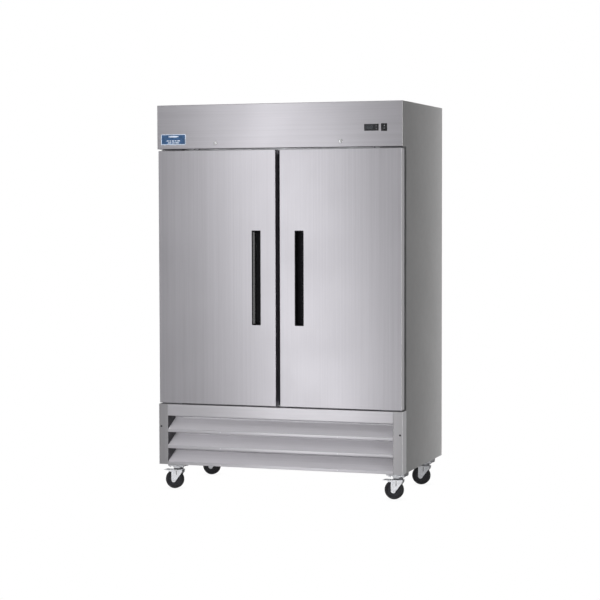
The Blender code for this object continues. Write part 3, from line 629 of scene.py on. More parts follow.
def folded_pan(name, low, high, fold):
    """A sheet pan, open behind, with its front folds and corners rounded."""
    bm = cuboid(low, high)
    back = [f for f in bm.faces if f.normal.y > 0.9]
    bmesh.ops.delete(bm, geom=back, context="FACES_ONLY")
    round_edges(bm, [e for e in bm.edges if not e.is_boundary], fold, 6)
    obj = object_from(name, bm)
    wall = obj.modifiers.new("sheet", "SOLIDIFY")
    wall.thickness = 0.001
    wall.offset = -1
    wall.use_even_offset = True
    return obj


# ---- doors
def side_ring(side, loop, y):
    """A loop of (x, z) points measured on the right half, on either half, at one depth."""
    points = [(side * x, y, z) for x, z in loop]
    return points if side > 0 else points[::-1]


def door_skin(side, label):
    low = (DOOR_INNER, FRONT, DOOR_BOTTOM)
    corners = mirrored(side, low, (DOOR_OUTER, FRONT + DOOR_RETURN, DOOR_TOP))
    shell = folded_pan(f"skin_{label}", *corners, 0.002)
    inset = 0.003
    reach = math.sqrt(CAM_REACH**2 - (LOCK_Z - DOOR_TOP) ** 2) + 0.006
    x0, x1, z0, z1 = HANDLE
    low, high = (x0 + inset, FRONT - 0.01, z0 + inset), (x1 - inset, FRONT + 0.02, z1 - inset)
    cut(
        shell,
        side_cutter(side, low, high),
        side_cutter(
            side,
            (LOCK_X - 0.008, FRONT + 0.010, DOOR_TOP - 0.016),
            (LOCK_X + reach, FRONT + 0.017, DOOR_TOP + 0.01),
        ),
        *(
            cutter_rod((side * HINGE_X, HINGE_Y, z), 0.0065, 0.02, UPWARD)
            for z in (DOOR_TOP, DOOR_BOTTOM)
        ),
    )
    finish(shell, "steel_up", "stainless", [f"door_{label}_skin"], f"door_{label}")
    brighten_returns(shell, DOOR_OUTER - 0.002)


def door_handle(side, label):
    """A recessed pull: flange, deep tray and a sloping outer wall."""
    x0, x1, z0, z1 = HANDLE
    rim, wall = 0.0055, 0.0025
    front = FRONT - GAP - TRIM
    floor = FRONT + HANDLE_DEPTH - wall

    def ring(inner, outer, end, y, radius):
        return side_ring(side, rounded(x0 + inner, x1 - outer, z0 + end, z1 - end, radius), y)

    rings = [
        ring(rim + 0.0022, rim + 0.0120, 0.014, floor, 0.002),
        ring(rim + 0.0008, rim + 0.0102, 0.0095, floor - 0.0012, 0.002),
        ring(rim, rim + 0.0092, 0.0080, floor - 0.004, 0.002),
        ring(rim, rim + 0.0088, 0.0066, FRONT + 0.0100, 0.002),
        ring(rim, rim + 0.0078, 0.0064, FRONT + 0.0090, 0.002),
        ring(rim, rim, 0.0062, FRONT + 0.0012, 0.002),
        ring(rim, rim - 0.0002, 0.0060, front + 0.0008, 0.002),
        ring(rim - 0.0006, rim - 0.0006, 0.0054, front, 0.002),
        ring(0.0006, 0.0006, 0.0006, front, 0.0025),
        ring(0, 0, 0, front + 0.0006, 0.003),
        ring(0, 0, 0, FRONT - GAP, 0.003),
        ring(0.0036, 0.0036, 0.0036, FRONT - GAP, 0.002),
        ring(0.0036, 0.0036, 0.0036, FRONT + HANDLE_DEPTH - 0.001, 0.002),
        ring(0.0046, 0.0046, 0.0046, FRONT + HANDLE_DEPTH, 0.002),
    ]
    bm = bmesh.new()
    loft(bm, rings)
    pull = piece(
        f"handle_{label}", bm, "black", "black", [f"door_{label}_handle"], f"door_{label}"
    )
    second_look(
        pull, "matt", lambda face: not (abs(face.normal.x) > 0.4 and face.normal.y < -0.4)
    )


def door_liner(side, label):
    """Inner pan: a flat rim, a raised middle with soft corners, and a drip bead."""
    room = 0.0015
    y = FRONT + DOOR_DEPTH
    bm = bmesh.new()
    side_box(bm, side, (DOOR_INNER + room, FRONT + 0.0498, DOOR_BOTTOM + room),
             (DOOR_OUTER - room, y, DOOR_TOP - room), 0.002, 3)
    area = (DOOR_INNER + 0.032, 0.626, DOOR_BOTTOM + 0.030, DOOR_TOP - 0.032)

    def ring(inset, depth, radius):
        return side_ring(side, within(area, inset, radius, 6), depth)

    top = FRONT + 0.068
    steps = [ring(0, y - 0.002, 0.016), ring(0, y, 0.016)]
    for i in range(1, 6):
        angle = math.pi / 2 * i / 5
        rise = (top - y - 0.002) * math.sin(angle)
        steps.append(ring(0.010 * (1 - math.cos(angle)), y + 0.002 + rise, 0.014))
    steps += [ring(0.050, top, 0.010), ring(0.054, top - 0.0025, 0.008), ring(0.060, top - 0.0025, 0.006)]
    loft(bm, steps)
    piece(f"liner_{label}", bm, "liner", "liner", [f"door_{label}_liner"], f"door_{label}")


def door_gasket(side, label):
    """A bellows seal with mitred corners, in its rim on the liner."""
    x0, x1 = DOOR_INNER + 0.0015, 0.655
    z0, z1 = DOOR_BOTTOM + 0.0017, DOOR_TOP - 0.0035
    base, tip = FRONT + DOOR_DEPTH + GAP, FACE - 0.0006
    half = [(0.0010, 0.0), (0.0010, 0.0030), (0.0042, 0.0042), (0.0042, 0.0058), (0.0002, 0.0070),
            (0.0002, 0.0092), (0.0042, 0.0104), (0.0042, 0.0116), (0.0, 0.0128), (0.0, 0.0150),
            (0.0014, tip - base)]
    width = 0.0155
    section = half + [(width - u, v) for u, v in reversed(half)]
    rings = []
    for u, v in section:
        loop = [(x0 + u, z0 + u), (x1 - u, z0 + u), (x1 - u, z1 - u), (x0 + u, z1 - u)]
        rings.append([(side * x, base + v, z) for x, z in loop])
    bm = bmesh.new()
    loft(bm, rings, closed=True)
    piece(f"gasket_{label}", bm, "gasket", "gasket", [f"door_{label}_gasket"], f"door_{label}")


def hinge(side, label):
    """Brackets above and below a door, with a pin boss, a step and screws."""
    for top in (True, False):
        end = "top" if top else "bottom"
        low = DOOR_TOP + 0.0025 if top else GRILLE_TOP + 0.0015
        high = low + 0.003
        loop = rounded(0.556, 0.672, FRONT + 0.018, FACE - 0.0006, 0.006)
        loop = [(side * x, y) for x, y in loop]
        bm = bmesh.new()
        plate(bm, [loop], low, high, "XY", 0.0006)
        if top:
            flange = (low + 0.001, HEADER_BOTTOM + 0.037)
            pin = (DOOR_TOP - 0.017, high)
            boss = (low, low - 0.0015)
        else:
            flange = (GRILLE_TOP - 0.037, high - 0.001)
            pin = (low, DOOR_BOTTOM + 0.017)
            boss = (high, high + 0.0015)
        side_box(bm, side, (0.560, FACE - 0.0032, flange[0]), (0.668, FACE - 0.0005, flange[1]), 0.0006)
        tube(bm, [(side * HINGE_X, HINGE_Y, z) for z in pin], 0.005, 20)
        tube(bm, [(side * HINGE_X, HINGE_Y, z) for z in boss], 0.009, 24)
        for x in (0.580, 0.614, 0.648):
            screw(bm, (side * x, FACE - 0.0032, sum(flange) / 2), -BACKWARD, 0.004)
        # The brackets take the darker zinc copy: painted shade for the shadowed door gap.
        piece(f"bracket_{end}_{label}", bm, "plate", "zinc", [f"hinge_{end}_{label}"])


# ---- header, controls and locks
def header():
    pan = folded_pan(
        "header", (-SIDE, FRONT, HEADER_BOTTOM), (SIDE, FACE - GAP, HEIGHT), 0.003
    )
    tools = []
    for x0, x1, z0, z1 in (DISPLAY, SWITCH):
        inset = 0.0025
        low = (x0 + inset, FRONT - 0.01, z0 + inset)
        tools.append(cutter_box(low, (x1 - inset, FRONT + 0.01, z1 - inset)))
    for side, _ in SIDES:
        reach = math.sqrt(CAM_REACH**2 - (LOCK_Z - HEADER_BOTTOM) ** 2) + 0.008
        tools.append(cutter_rod((side * LOCK_X, FRONT, LOCK_Z), 0.0092, 0.02))
        cam_slot = (LOCK_X - 0.009, LOCK_X + reach, FRONT + 0.011, FRONT + 0.016)
        hinge_notch = (0.545, 0.676, FACE - 0.007, FACE + 0.01)
        for low_x, high_x, low_y, high_y in (cam_slot, hinge_notch):
            low, high = HEADER_BOTTOM - 0.01, HEADER_BOTTOM + 0.01
            tools.append(side_cutter(side, (low_x, low_y, low), (high_x, high_y, high)))
    cut(pan, *tools)
    finish(pan, "steel_level", "stainless", ["header_panel"])
    second_look(pan, "side", lambda face: abs(face.normal.x) > 0.15)


def header_screws():
    """Heads under the header lip, between the doors and the cabinet face."""
    bm = bmesh.new()
    for x in (-0.473, -0.445, 0.534):
        lathe(bm, disc(0.0042, 0.005, 0.0012), (x, FRONT + 0.006, HEADER_BOTTOM), -UPWARD, 16)
    piece("header_fixings", bm, "dark")


def locks():
    for side, label in SIDES:
        x = side * LOCK_X
        bm = bmesh.new()
        rim = [(0.0090, 0), (0.0112, 0), (0.0112, 0.0008), (0.0106, 0.0018), (0.0098, 0.0022),
               (0.0090, 0.0020)]
        lathe(bm, rim, (x, FRONT - GAP, LOCK_Z), -BACKWARD, 40)
        piece(f"lock_bezel_{label}", bm, "chrome", "zinc")
        bm = bmesh.new()
        face, rear = FRONT - 0.004, FRONT + 0.017
        lathe(bm, disc(0.0085, rear - face, 0.0009), (x, rear, LOCK_Z), -BACKWARD, 40)
        plug = object_from(f"lock_{label}", bm)
        low, high = LOCK_Z - 0.0045, LOCK_Z + 0.0045
        cut(plug, cutter_box((x - 0.0011, face - 0.01, low), (x + 0.0011, face + 0.003, high)))
        bm = bmesh.new()
        bm.from_mesh(plug.data)
        arm = rounded(LOCK_X - 0.005, LOCK_X + 0.043, LOCK_Z - 0.005, LOCK_Z + 0.005, 0.0045)
        loop = [(side * a, b) for a, b in arm]
        plate(bm, [loop], FRONT + 0.012, FRONT + 0.015, "XZ", 0.0004)
        bm.to_mesh(plug.data)
        bm.free()
        finish(plug, "chrome", "zinc", [f"lock_plug_{label}"], f"lock_{label}")


def bezel(bm, area, holes, pocket, depth, edge=0.0005, corner=0.002):
    """A thin rounded frame on the front plane, with a body behind it that has a pocket."""
    face = FRONT - GAP
    plate(bm, [rounded(*area, corner), *holes], face - TRIM, face, "XZ", edge)
    back = within(area, 0.0032, 0.0008)
    plate(bm, [back, *holes], face - 0.0004, FRONT + pocket, "XZ")
    plate(bm, [back], FRONT + pocket, FRONT + depth, "XZ", 0.0005)


BUTTON_X = DISPLAY[1] - 0.012
BUTTON_ROWS = {"button_up": DISPLAY[2] + 0.0245, "button_down": DISPLAY[2] + 0.0105}


def controller():
    x0, _, z0, z1 = DISPLAY
    window = (x0 + 0.007, BUTTON_X - 0.008, z0 + 0.006, z1 - 0.006)
    half = 0.0041
    holes = [rounded(*window, 0.0015)]
    for z in BUTTON_ROWS.values():
        holes.append(centred(BUTTON_X, z, half, half, 0.0009))
    bm = bmesh.new()
    bezel(bm, DISPLAY, holes, 0.006, 0.050)
    piece("display_housing", bm, "black", "black", ["controller_housing"])
    bm = bmesh.new()
    plate(bm, [within(window, 0.0002, 0.0013)], FRONT - GAP - 0.0009, FRONT + 0.002, "XZ", 0.0003)
    piece("display_glass", bm, "screen", "gloss_black")
    bm = bmesh.new()
    y = FRONT - GAP - 0.0010
    for i in range(3):
        segments(bm, x0 + 0.0125 + i * 0.0135, (z0 + z1) / 2, 0.0090, 0.0160, y)
    middle = (z0 + z1) / 2
    box(bm, (x0 + 0.0358, y, middle - 0.0085), (x0 + 0.0372, y + 0.0004, middle - 0.0071), 0.0002)
    piece("display_segments", bm, "digits", "gloss_black")
    for name, z in BUTTON_ROWS.items():
        bm = bmesh.new()
        low = (BUTTON_X - 0.0036, FRONT - 0.0028, z - 0.0036)
        box(bm, low, (BUTTON_X + 0.0036, FRONT + 0.0035, z + 0.0036), 0.0008, 3)
        tip = 0.0016 if name == "button_up" else -0.0016
        arrow = [(BUTTON_X - 0.0018, z - tip * 0.6), (BUTTON_X + 0.0018, z - tip * 0.6), (BUTTON_X, z + tip)]
        plate(bm, [arrow], FRONT - 0.0030, FRONT - 0.0026, "XZ")
        piece(f"key_{name[7:]}", bm, "keys", "rubber", [name], name)


def segments(bm, x, z, width, height, y):
    """The seven bars of one unlit digit, leaning like a clock's."""
    thick, gap = 0.0014, 0.0003
    bars = []
    for level in (0, height / 2, height):
        bars.append((gap + thick / 2, width - gap - thick / 2, level - thick / 2, level + thick / 2))
    for column in (0, width):
        for low in (0, height / 2):
            start, end = low + gap + thick / 2, low + height / 2 - gap - thick / 2
            bars.append((column - thick / 2, column + thick / 2, start, end))
    lean = 0.12
    for a0, a1, b0, b1 in bars:
        loop = []
        for a, b in ((a0, b0), (a1, b0), (a1, b1), (a0, b1)):
            loop.append((x - width / 2 + a + lean * (b - height / 2), z - height / 2 + b))
        plate(bm, [loop], y, y + 0.0004, "XZ")


def power_switch():
    x, z = (SWITCH[0] + SWITCH[1]) / 2, (SWITCH[2] + SWITCH[3]) / 2
    pocket = centred(x, z, 0.0106, 0.0152, 0.0012)
    bm = bmesh.new()
    bezel(bm, SWITCH, [pocket], 0.0142, 0.028, 0.0006, 0.003)
    piece("switch_housing", bm, "black", "black", ["power_switch_housing"])
    lean = math.radians(9)
    half = 0.0128
    section = [(-0.0030 - 0.0011, half), (-0.0018, 0.0), (-0.0030 - 0.0011, -half), (0.0038, -half + 0.0008),
               (0.0065, 0.0), (0.0038, half - 0.0008)]
    bm = bmesh.new()
    part = skin([[(a, y, b) for y, b in section] for a in (-0.0099, 0.0099)], False, True)
    bmesh.ops.recalc_face_normals(part, faces=part.faces)
    round_edges(part, part.edges[:], 0.0006, 3)
    turn = Matrix.Translation((x, FRONT + 0.0035, z)) @ Matrix.Rotation(-lean, 4, "X")
    absorb(bm, part, turn)
    piece("rocker_key", bm, "black", "gloss_black", ["power_rocker"], "rocker")
    bm = bmesh.new()
    slope = math.atan2(0.0023, half)
    for sign in (-1, 1):
        spot = turn @ Matrix.Translation((0, -0.0031, sign * 0.0070)) @ Matrix.Rotation(sign * slope, 4, "X")
        part = bmesh.new()
        if sign > 0:
            ring = [(0.0019, -0.0002), (0.0026, -0.0002), (0.0026, 0.0002), (0.0019, 0.0002)]
            lathe(part, ring, (0, 0, 0), BACKWARD, 24)
        else:
            box(part, (-0.0004, -0.0002, -0.0024), (0.0004, 0.0002, 0.0024))
        absorb(bm, part, spot)
    piece("rocker_marks", bm, "mark", "black", (), "rocker")


def badge():
    """A small plate: bright frame, blue field, and plain bars in place of a name."""
    x0, x1, z0, z1 = BADGE
    y0, y1 = FRONT - GAP - TRIM, FRONT - GAP
    rim = 0.0035
    bm = bmesh.new()
    plate(bm, [rounded(*BADGE, 0.004), within(BADGE, rim, 0.002)], y0, y1, "XZ", 0.0005)
    piece("badge_frame", bm, "badge_pale", "badge", ["nameplate_badge"])
    bm = bmesh.new()
    plate(bm, [within(BADGE, rim - 0.0005, 0.0025)], y0 + 0.0005, y1, "XZ")
    piece("badge_field", bm, "badge_blue", "badge")
    bm = bmesh.new()
    middle = (x0 + x1) / 2
    high = z1 - 0.0125
    oval = [(middle + 0.030 * math.cos(t), high + 0.0042 * math.sin(t)) for t in turns(32)]
    plate(bm, [oval], y0 + 0.0001, y0 + 0.0007, "XZ")
    rows = ((0.021, (0.012, 0.010, 0.014, 0.010, 0.018)), (0.0105, (0.020, 0.016, 0.022)))
    for height, lengths in rows:
        gap = 0.0035
        x = middle - (sum(lengths) + gap * (len(lengths) - 1)) / 2
        for length in lengths:
            bar = rounded(x, x + length, z0 + height - 0.0022, z0 + height + 0.0022, 0.0015, 3)
            plate(bm, [bar], y0 + 0.0001, y0 + 0.0007, "XZ")
            x += length + gap
    piece("badge_bars", bm, "badge_pale", "badge")


# ---- louvred grille
BLADE_PITCH = (RAIL_BOTTOM - BASE_Z) / 3
BLADE_DEPTH = 0.110
BLADE_LIP = 0.015
BLADE_RISE = 0.052
BLADE_UPSTAND = 0.030
BLADE_SHEET = 0.0015


def grille_stiles():
    middle = BLADE_SHEET / 2
    rear = FACE - GAP
    bm = bmesh.new()
    for side, _ in SIDES:
        near, far, face = STILE_INNER + middle, SIDE - middle, FRONT + middle
        line = [(near, FRONT + BLADE_DEPTH), (near, face), (far, face), (far, rear)]
        line = [(side * x, y) for x, y in line]
        folded(bm, line, 0.0018, BLADE_SHEET, BASE_Z, GRILLE_TOP, "XY")
        inner, outer = STILE_INNER + 0.0015, SIDE - 0.002
        low = (inner, FRONT + 0.002, GRILLE_TOP - BLADE_SHEET)
        side_box(bm, side, low, (outer, rear, GRILLE_TOP), 0.0004)
        low = (inner, FRONT + 0.002, BASE_Z)
        side_box(bm, side, low, (outer, FRONT + 0.016, BASE_Z + BLADE_SHEET), 0.0004)
    # The stiles take the darker steel copy, which is painted shade.
    stiles = piece("grille_stiles", bm, "steel_stile_painted_shade", "stainless", ["louver_grille"])
    brighten_returns(stiles, SIDE - 0.003)


def grille():
    """Stiles, a rail and three blades between end plates carrying painted shade, with their fixings."""
    grille_stiles()
    middle = BLADE_SHEET / 2
    bm = bmesh.new()
    end = STILE_INNER - 0.0004
    face, high, low = FRONT + middle, GRILLE_TOP - middle, RAIL_BOTTOM + middle
    line = [(FACE - GAP, high), (face, high), (face, low), (FRONT + 0.014, low)]
    folded(bm, line, 0.0025, BLADE_SHEET, -end, end, "YZ")
    piece("grille_rail", bm, "steel_rail", "stainless")
    bm = bmesh.new()
    for i in range(3):
        blade(bm, BASE_Z + i * BLADE_PITCH, end)
    blades = piece("grille_blades", bm, "steel_blade", "stainless")
    lip = FRONT + 0.003
    second_look(blades, "steel_rail", lambda face: face.center.y < lip and face.normal.z > -0.3)
    # Dark plates at the blade ends: painted shade for the shadowed ends of the louvre recess.
    bm = bmesh.new()
    y0, y1, z0, z1 = FRONT + 0.004, FRONT + BLADE_DEPTH, BASE_Z + 0.002, RAIL_BOTTOM + 0.01
    inner = [(y0, z0), (y1, z0), (y1, z1), (y0, z1)]
    for side, _ in SIDES:
        low, high = sorted((side * (STILE_INNER - 0.0006), side * (STILE_INNER - 0.0002)))
        plate(bm, [inner], low, high, "YZ")
    piece("grille_end_plates_painted_shade", bm, "dark", "black")
    grille_fixings()


def grille_fixings():
    bm = bmesh.new()
    for side, _ in SIDES:
        screw(bm, (side * 0.672, FRONT, 0.356), -BACKWARD, 0.0055, 0.0022)
    piece("grille_screws", bm, "dark", "zinc")
    bm = bmesh.new()
    for side, _ in SIDES:
        for i in range(3):
            z = BASE_Z + i * BLADE_PITCH + BLADE_LIP / 2
            lathe(bm, disc(0.0026, 0.0009, 0.0006), (side * 0.330, FRONT + GAP, z), -BACKWARD, 14)
    piece("grille_rivets", bm, "zinc", "zinc")


def blade(bm, z, end):
    """One louvre: hemmed lip, slope and upstand."""
    middle = BLADE_SHEET / 2
    back = FRONT + BLADE_DEPTH - middle
    top = z + BLADE_LIP + BLADE_RISE
    lip = FRONT + GAP + middle
    line = [(FRONT + 0.010, z + middle), (lip, z + middle), (lip, z + BLADE_LIP), (back, top),
            (back, top + BLADE_UPSTAND)]
    folded(bm, line, 0.002, BLADE_SHEET, -end, end, "YZ")


# ---- cabinet
def cabinet_sheets():
    nodes = frame["nodes"]
    looks = {
        "side_panel_left": "side",
        "side_panel_right": "side",
        "top_panel": "galvanised",
        "rear_panel": "galvanised",
        "inner_liner": "liner",
        "insulation_foam": "foam",
        "door_left_core": "foam",
        "door_right_core": "foam",
        "center_mullion": "breaker",
        "power_inlet": "matt",
        "compressor": "motor",
    }
    for name, look in looks.items():
        nodes[name].data.materials.clear()
        nodes[name].data.materials.append(LOOKS[look])


def panel_screws():
    """Fixings around the rear panel, and along the top sheet."""
    bm = bmesh.new()
    for side in (-1, 1):
        for i in range(8):
            screw(bm, (side * 0.655, BACK - 0.0012, 0.20 + i * 0.260), BACKWARD, 0.0036, 0.0012)
    for i in range(7):
        x = (i - 3) * 0.18
        for z in (0.165, 2.070):
            screw(bm, (x, BACK - 0.0012, z), BACKWARD, 0.0036, 0.0012)
    piece("rear_screws", bm, "zinc", "zinc")


def compartment_ceiling():
    """A sheet under the food compartment's foam, stiffened by shallow ribs."""
    low = (-SIDE + 0.002, FACE + 0.003, 0.4445)
    high = (SIDE - 0.002, BACK - 0.003, 0.4465)
    bm = bmesh.new()
    box(bm, low, high, 0.0004)
    for i in range(7):
        x = (i - 3) * 0.18
        base = low[2] - 0.0030
        box(bm, (x - 0.012, low[1] + 0.03, base), (x + 0.012, high[1] - 0.03, low[2] + 0.001), 0.0025, 3)
    piece("compartment_ceiling", bm, "galvanised", "galvanised")


def base():
    """Compartment floor, and a bolted plate with its ball race for each caster."""
    half = SIDE - 0.0153
    front = FRONT + BLADE_DEPTH + 0.004
    bm = bmesh.new()
    z0, z1 = BASE_Z - 0.001, BASE_Z + 0.002
    box(bm, (-half, front, z0), (half, BACK - 0.006, z1), 0.0006)
    for x in (-0.45, -0.15, 0.15, 0.45):
        box(bm, (x - 0.02, front + 0.03, z0 - 0.004), (x + 0.02, BACK - 0.04, z0 + 0.001), 0.0035, 3)
    piece("base_floor", bm, "galvanised", "galvanised", ["base_frame"])
    bm = bmesh.new()
    for x, y in PLACES.values():
        outer = min(0.054, half - abs(x))
        low, high = sorted((x - math.copysign(0.054, x), x + math.copysign(outer, x)))
        box(bm, (low, y - 0.046, 0.1302), (high, y + 0.046, z0 + 0.001), 0.001)
        plate(bm, [centred(x, y, 0.047, 0.042, 0.008, 5)], 0.126, 0.130, "XY", 0.0008)
        lathe(bm, [(0.010, 0.1265), (0.034, 0.1265), (0.0335, 0.1235), (0.0300, 0.1205), (0.0285, 0.1165),
                   (0.0285, 0.1148), (0.0265, 0.1140), (0.010, 0.1140)], (x, y, 0), UPWARD, 40)
        for a in (x - 0.0375, x + 0.0375):
            for b in (y - 0.0325, y + 0.0325):
                bolt(bm, (a, b, 0.1262), -UPWARD, 0.0055, 0.0042)
    plates = piece("caster_plates", bm, "zinc", "zinc")
    # Faces turned to +x take the darker zinc copy: painted shade on the pads' shaded sides.
    second_look(plates, "plate", lambda face: face.normal.x > 0.5)


# ---- food compartment
SHELF_LEVELS = (0.600, 0.980, 1.360)
SHELF_REAR = 0.334
UPRIGHT_Y = (-0.217, 0.277)
UPRIGHT_Z = (0.512, 1.790)
COOLING_FAN_X = 0.220
COOLING_FAN_Y = -0.162


def wire_shelf():
    """One shelf's mesh about its own centre: frame, front-to-back wires and cross bars."""
    half_x, half_y, radius = 0.303, (SHELF_REAR - FACE - 0.058) / 2, 0.0028
    bm = bmesh.new()
    rim = centred(0, 0, half_x - radius, half_y - radius, 0.012)
    tube(bm, [(x, y, 0.0002) for x, y in rim], radius, 8, closed=True)
    count = 24
    for i in range(count):
        x = -half_x + 0.012 + (2 * half_x - 0.024) * i / (count - 1)
        tube(bm, [(x, -half_y + 0.003, 0.0012), (x, half_y - 0.003, 0.0012)], 0.0014, 6)
    for y in (-0.17, 0.0, 0.17):
        tube(bm, [(-half_x + 0.002, y, -0.0012), (half_x - 0.002, y, -0.0012)], 0.0018, 6)
    return bm


def shelves():
    middle = (SHELF_REAR + FACE + 0.058) / 2
    for side, label in SIDES:
        for level, z in enumerate(SHELF_LEVELS, 1):
            shelf = wire_shelf()
            bmesh.ops.translate(shelf, vec=(side * 0.311, middle, z), verts=shelf.verts)
            piece(f"wire_shelf_{label}_{level}", shelf, "wire", "wire", [f"shelf_{label}_{level}"])


def pilaster(bm, a, b0, b1, inward, run):
    """An upright slotted channel; run is the axis that its face is wide along."""
    slots = []
    pitch = 0.026
    count = int((b1 - b0 - 0.03) / pitch)
    for i in range(count):
        z = b0 + 0.02 + i * pitch
        slots.append(rounded(a - 0.0045, a + 0.0045, z, z + 0.012, 0.0012, 2))
    face = rounded(a - 0.013, a + 0.013, b0, b1, 0.001, 2)
    low, high = sorted((inward[0], inward[0] + inward[1] * 0.0015))
    plate(bm, [face, *slots], low, high, run)
    for edge in (-1, 1):
        loop = rounded(a + edge * 0.0122 - 0.0008, a + edge * 0.0122 + 0.0008, b0, b1, 0.0004, 2)
        near, far = sorted((inward[0], inward[0] - inward[1] * 0.0082))
        plate(bm, [loop], near, far, run)


def racks():
    """Slotted uprights on the walls, and a pair of clips under each shelf."""
    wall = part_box("shelf_rack_right")[1].x
    for side, label in SIDES:
        bm = bmesh.new()
        for y in UPRIGHT_Y:
            pilaster(bm, y, *UPRIGHT_Z, (side * (wall - 0.0085), -side), "YZ")
        for z in SHELF_LEVELS:
            for y in UPRIGHT_Y:
                clip(bm, side, wall, y, z)
        piece(f"pilasters_{label}", bm, "zinc", "zinc", [f"shelf_rack_{label}"])
    bm = bmesh.new()
    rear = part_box("shelf_strip_rear")[1].y
    pilaster(bm, 0.0, *UPRIGHT_Z, (rear - 0.0065, -1), "XZ")
    piece("pilaster_rear", bm, "zinc", "zinc", ["shelf_strip_rear"])


def clip(bm, side, wall, y, z):
    """A pressed hook in two slots of an upright."""
    x = wall - 0.0088
    near, far, foot = x - 0.0012, x - 0.0066, z - 0.007
    line = [(near, z + 0.004), (near, foot), (far, foot), (far, z - 0.0042)]
    part = bmesh.new()
    folded(part, line, 0.0008, 0.0014, -0.008, 0.008, "XZ")
    bmesh.ops.translate(part, vec=(0, y, 0), verts=part.verts)
    if side < 0:
        bmesh.ops.scale(part, vec=(-1, 1, 1), verts=part.verts)
    absorb(bm, part)


def evaporator():
    low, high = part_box("evaporator_cover")
    fan_z = (low.z + high.z) / 2
    bm = bmesh.new()
    sheet = 0.0012
    holes = [circle(side * COOLING_FAN_X, fan_z, 0.076, 48) for side, _ in SIDES]
    front = rounded(low.x, high.x, low.z, high.z, 0.004)
    plate(bm, [front, *holes], low.y, low.y + sheet, "XZ", 0.0004)
    for x0, x1 in ((low.x, low.x + sheet), (high.x - sheet, high.x)):
        plate(bm, [rounded(low.y + 0.0008, high.y, low.z, high.z, 0.004)], x0, x1, "YZ", 0.0004)
    plate(bm, [rounded(low.x, high.x, low.z, high.z, 0.004)], high.y - sheet, high.y, "XZ", 0.0004)
    slot_low, slot_high = 0.2375, 0.3075
    grid = []
    for i in range(20):
        x = -0.40 + i * 0.0405
        grid.append(rounded(x, x + 0.030, slot_low, slot_high, 0.004, 3))
    plate(bm, [rounded(low.x, high.x, low.y, high.y, 0.004), *grid], low.z, low.z + sheet, "XY", 0.0004)
    piece("evaporator_housing", bm, "liner", "liner", ["evaporator_cover"])
    bm = bmesh.new()
    for side, _ in SIDES:
        guard(bm, (side * COOLING_FAN_X, low.y + 0.0035, fan_z), 0.080, 7)
        for x, z in diagonals(side * COOLING_FAN_X, fan_z, 0.085):
            screw(bm, (x, low.y, z), -BACKWARD, 0.0035)
    piece("evaporator_guards", bm, "wire", "wire")
    coil_low, coil_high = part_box("evaporator_coil")
    coil(coil_low, coil_high, "evaporator_fins", "evaporator_tubes", "evaporator_coil", 66, (4, 3))
    for side, label in SIDES:
        centre = (side * COOLING_FAN_X, COOLING_FAN_Y, fan_z)
        fan(f"evaporator_blades_{label}", centre, 0.070, 0.019, 0.020, f"evaporator_fan_{label}")


def diagonals(x, z, radius):
    """Four points around a fan, at its diagonals."""
    angles = [math.radians(angle) for angle in range(45, 360, 90)]
    return [(x + radius * math.cos(t), z + radius * math.sin(t)) for t in angles]


def guard(bm, centre, radius, rings):
    """A wire fan guard: rings on cross wires, all in one plane."""
    x, y, z = centre
    for i in range(1, rings + 1):
        r = radius * i / rings
        tube(bm, [(a, y, b) for a, b in circle(x, z, r, 36)], 0.0009, 6, closed=True)
    for angle in (20, 65, 110, 155):
        t = math.radians(angle)
        across = Vector((math.cos(t), 0, math.sin(t))) * radius
        tube(bm, [Vector((x, y + 0.0012, z)) - across, Vector((x, y + 0.0012, z)) + across], 0.0011, 6)


def coil(low, high, fins, tubes, node, count, rows):
    """A finned exchanger: thin plates on rows of tubes with return bends."""
    bm = bmesh.new()
    pitch = (high.x - low.x) / count
    for i in range(count + 1):
        x = low.x + i * pitch
        box(bm, (x, low.y + 0.001, low.z), (x + 0.0010, high.y - 0.001, high.z))
    for x in (low.x, high.x - 0.001):
        box(bm, (x - 0.0008, low.y, low.z), (x + 0.0018, high.y, high.z), 0.0004)
    piece(fins, bm, "fins", "fin", [node])
    bm = bmesh.new()
    up, deep = rows
    levels = [low.z + (high.z - low.z) * (i + 0.5) / up for i in range(up)]
    depths = [low.y + (high.y - low.y) * (j + 0.5) / deep for j in range(deep)]
    radius = (high.z - low.z) / up / 2
    half_turn = [math.pi * k / 8 for k in range(9)]
    for z in levels:
        for y in depths:
            tube(bm, [(low.x - 0.004, y, z), (high.x + 0.004, y, z)], 0.0048, 10)
    for y in depths:
        for i, z in enumerate(levels[:-1]):
            edge, reach = high.x + 0.004, min(radius, 0.02)
            if i % 2 == 0:
                edge, reach = low.x - 0.004, -reach
            bend = [
                (edge + reach * math.sin(t), y, z + radius - radius * math.cos(t)) for t in half_turn
            ]
            tube(bm, bend, 0.0048, 10)
    piece(tubes, bm, "copper", "fin")


def fan(name, centre, radius, hub, length, node):
    """An axial fan with curved, pitched blades and a domed hub."""
    bm = bmesh.new()
    x, y, z = centre
    lathe(bm, disc(hub, length, 0.004), (x, y + length / 2, z), -BACKWARD, 28)
    across, around = 8, 6
    for start in turns(5):
        rings = []
        for i in range(across + 1):
            r = hub * 0.9 + (radius - hub * 0.9) * i / across
            sweep = math.radians(30 + 16 * i / across)
            pitch = math.radians(38 - 14 * i / across)
            front_side, back_side = [], []
            for j in range(around + 1):
                s = j / around - 0.5
                angle = start + s * sweep * 1.5 + 0.25 * i / across
                twist = s * 2 * r * math.sin(sweep * 0.75) * math.tan(pitch) * 0.55
                depth = y + twist - 0.0015 * math.cos(math.pi * s)
                depth = max(y - length * 0.48, min(y + length * 0.48, depth))
                point = Vector((x + r * math.cos(angle), depth, z + r * math.sin(angle)))
                front_side.append(point - Vector((0, 0.0007, 0)))
                back_side.append(point + Vector((0, 0.0007, 0)))
            rings.append(front_side + back_side[::-1])
        loft(bm, rings)
    piece(name, bm, "black", "black", [node], node)


# ---- machine compartment
CONDENSER_FAN = (-0.300, -0.135, 0.290)


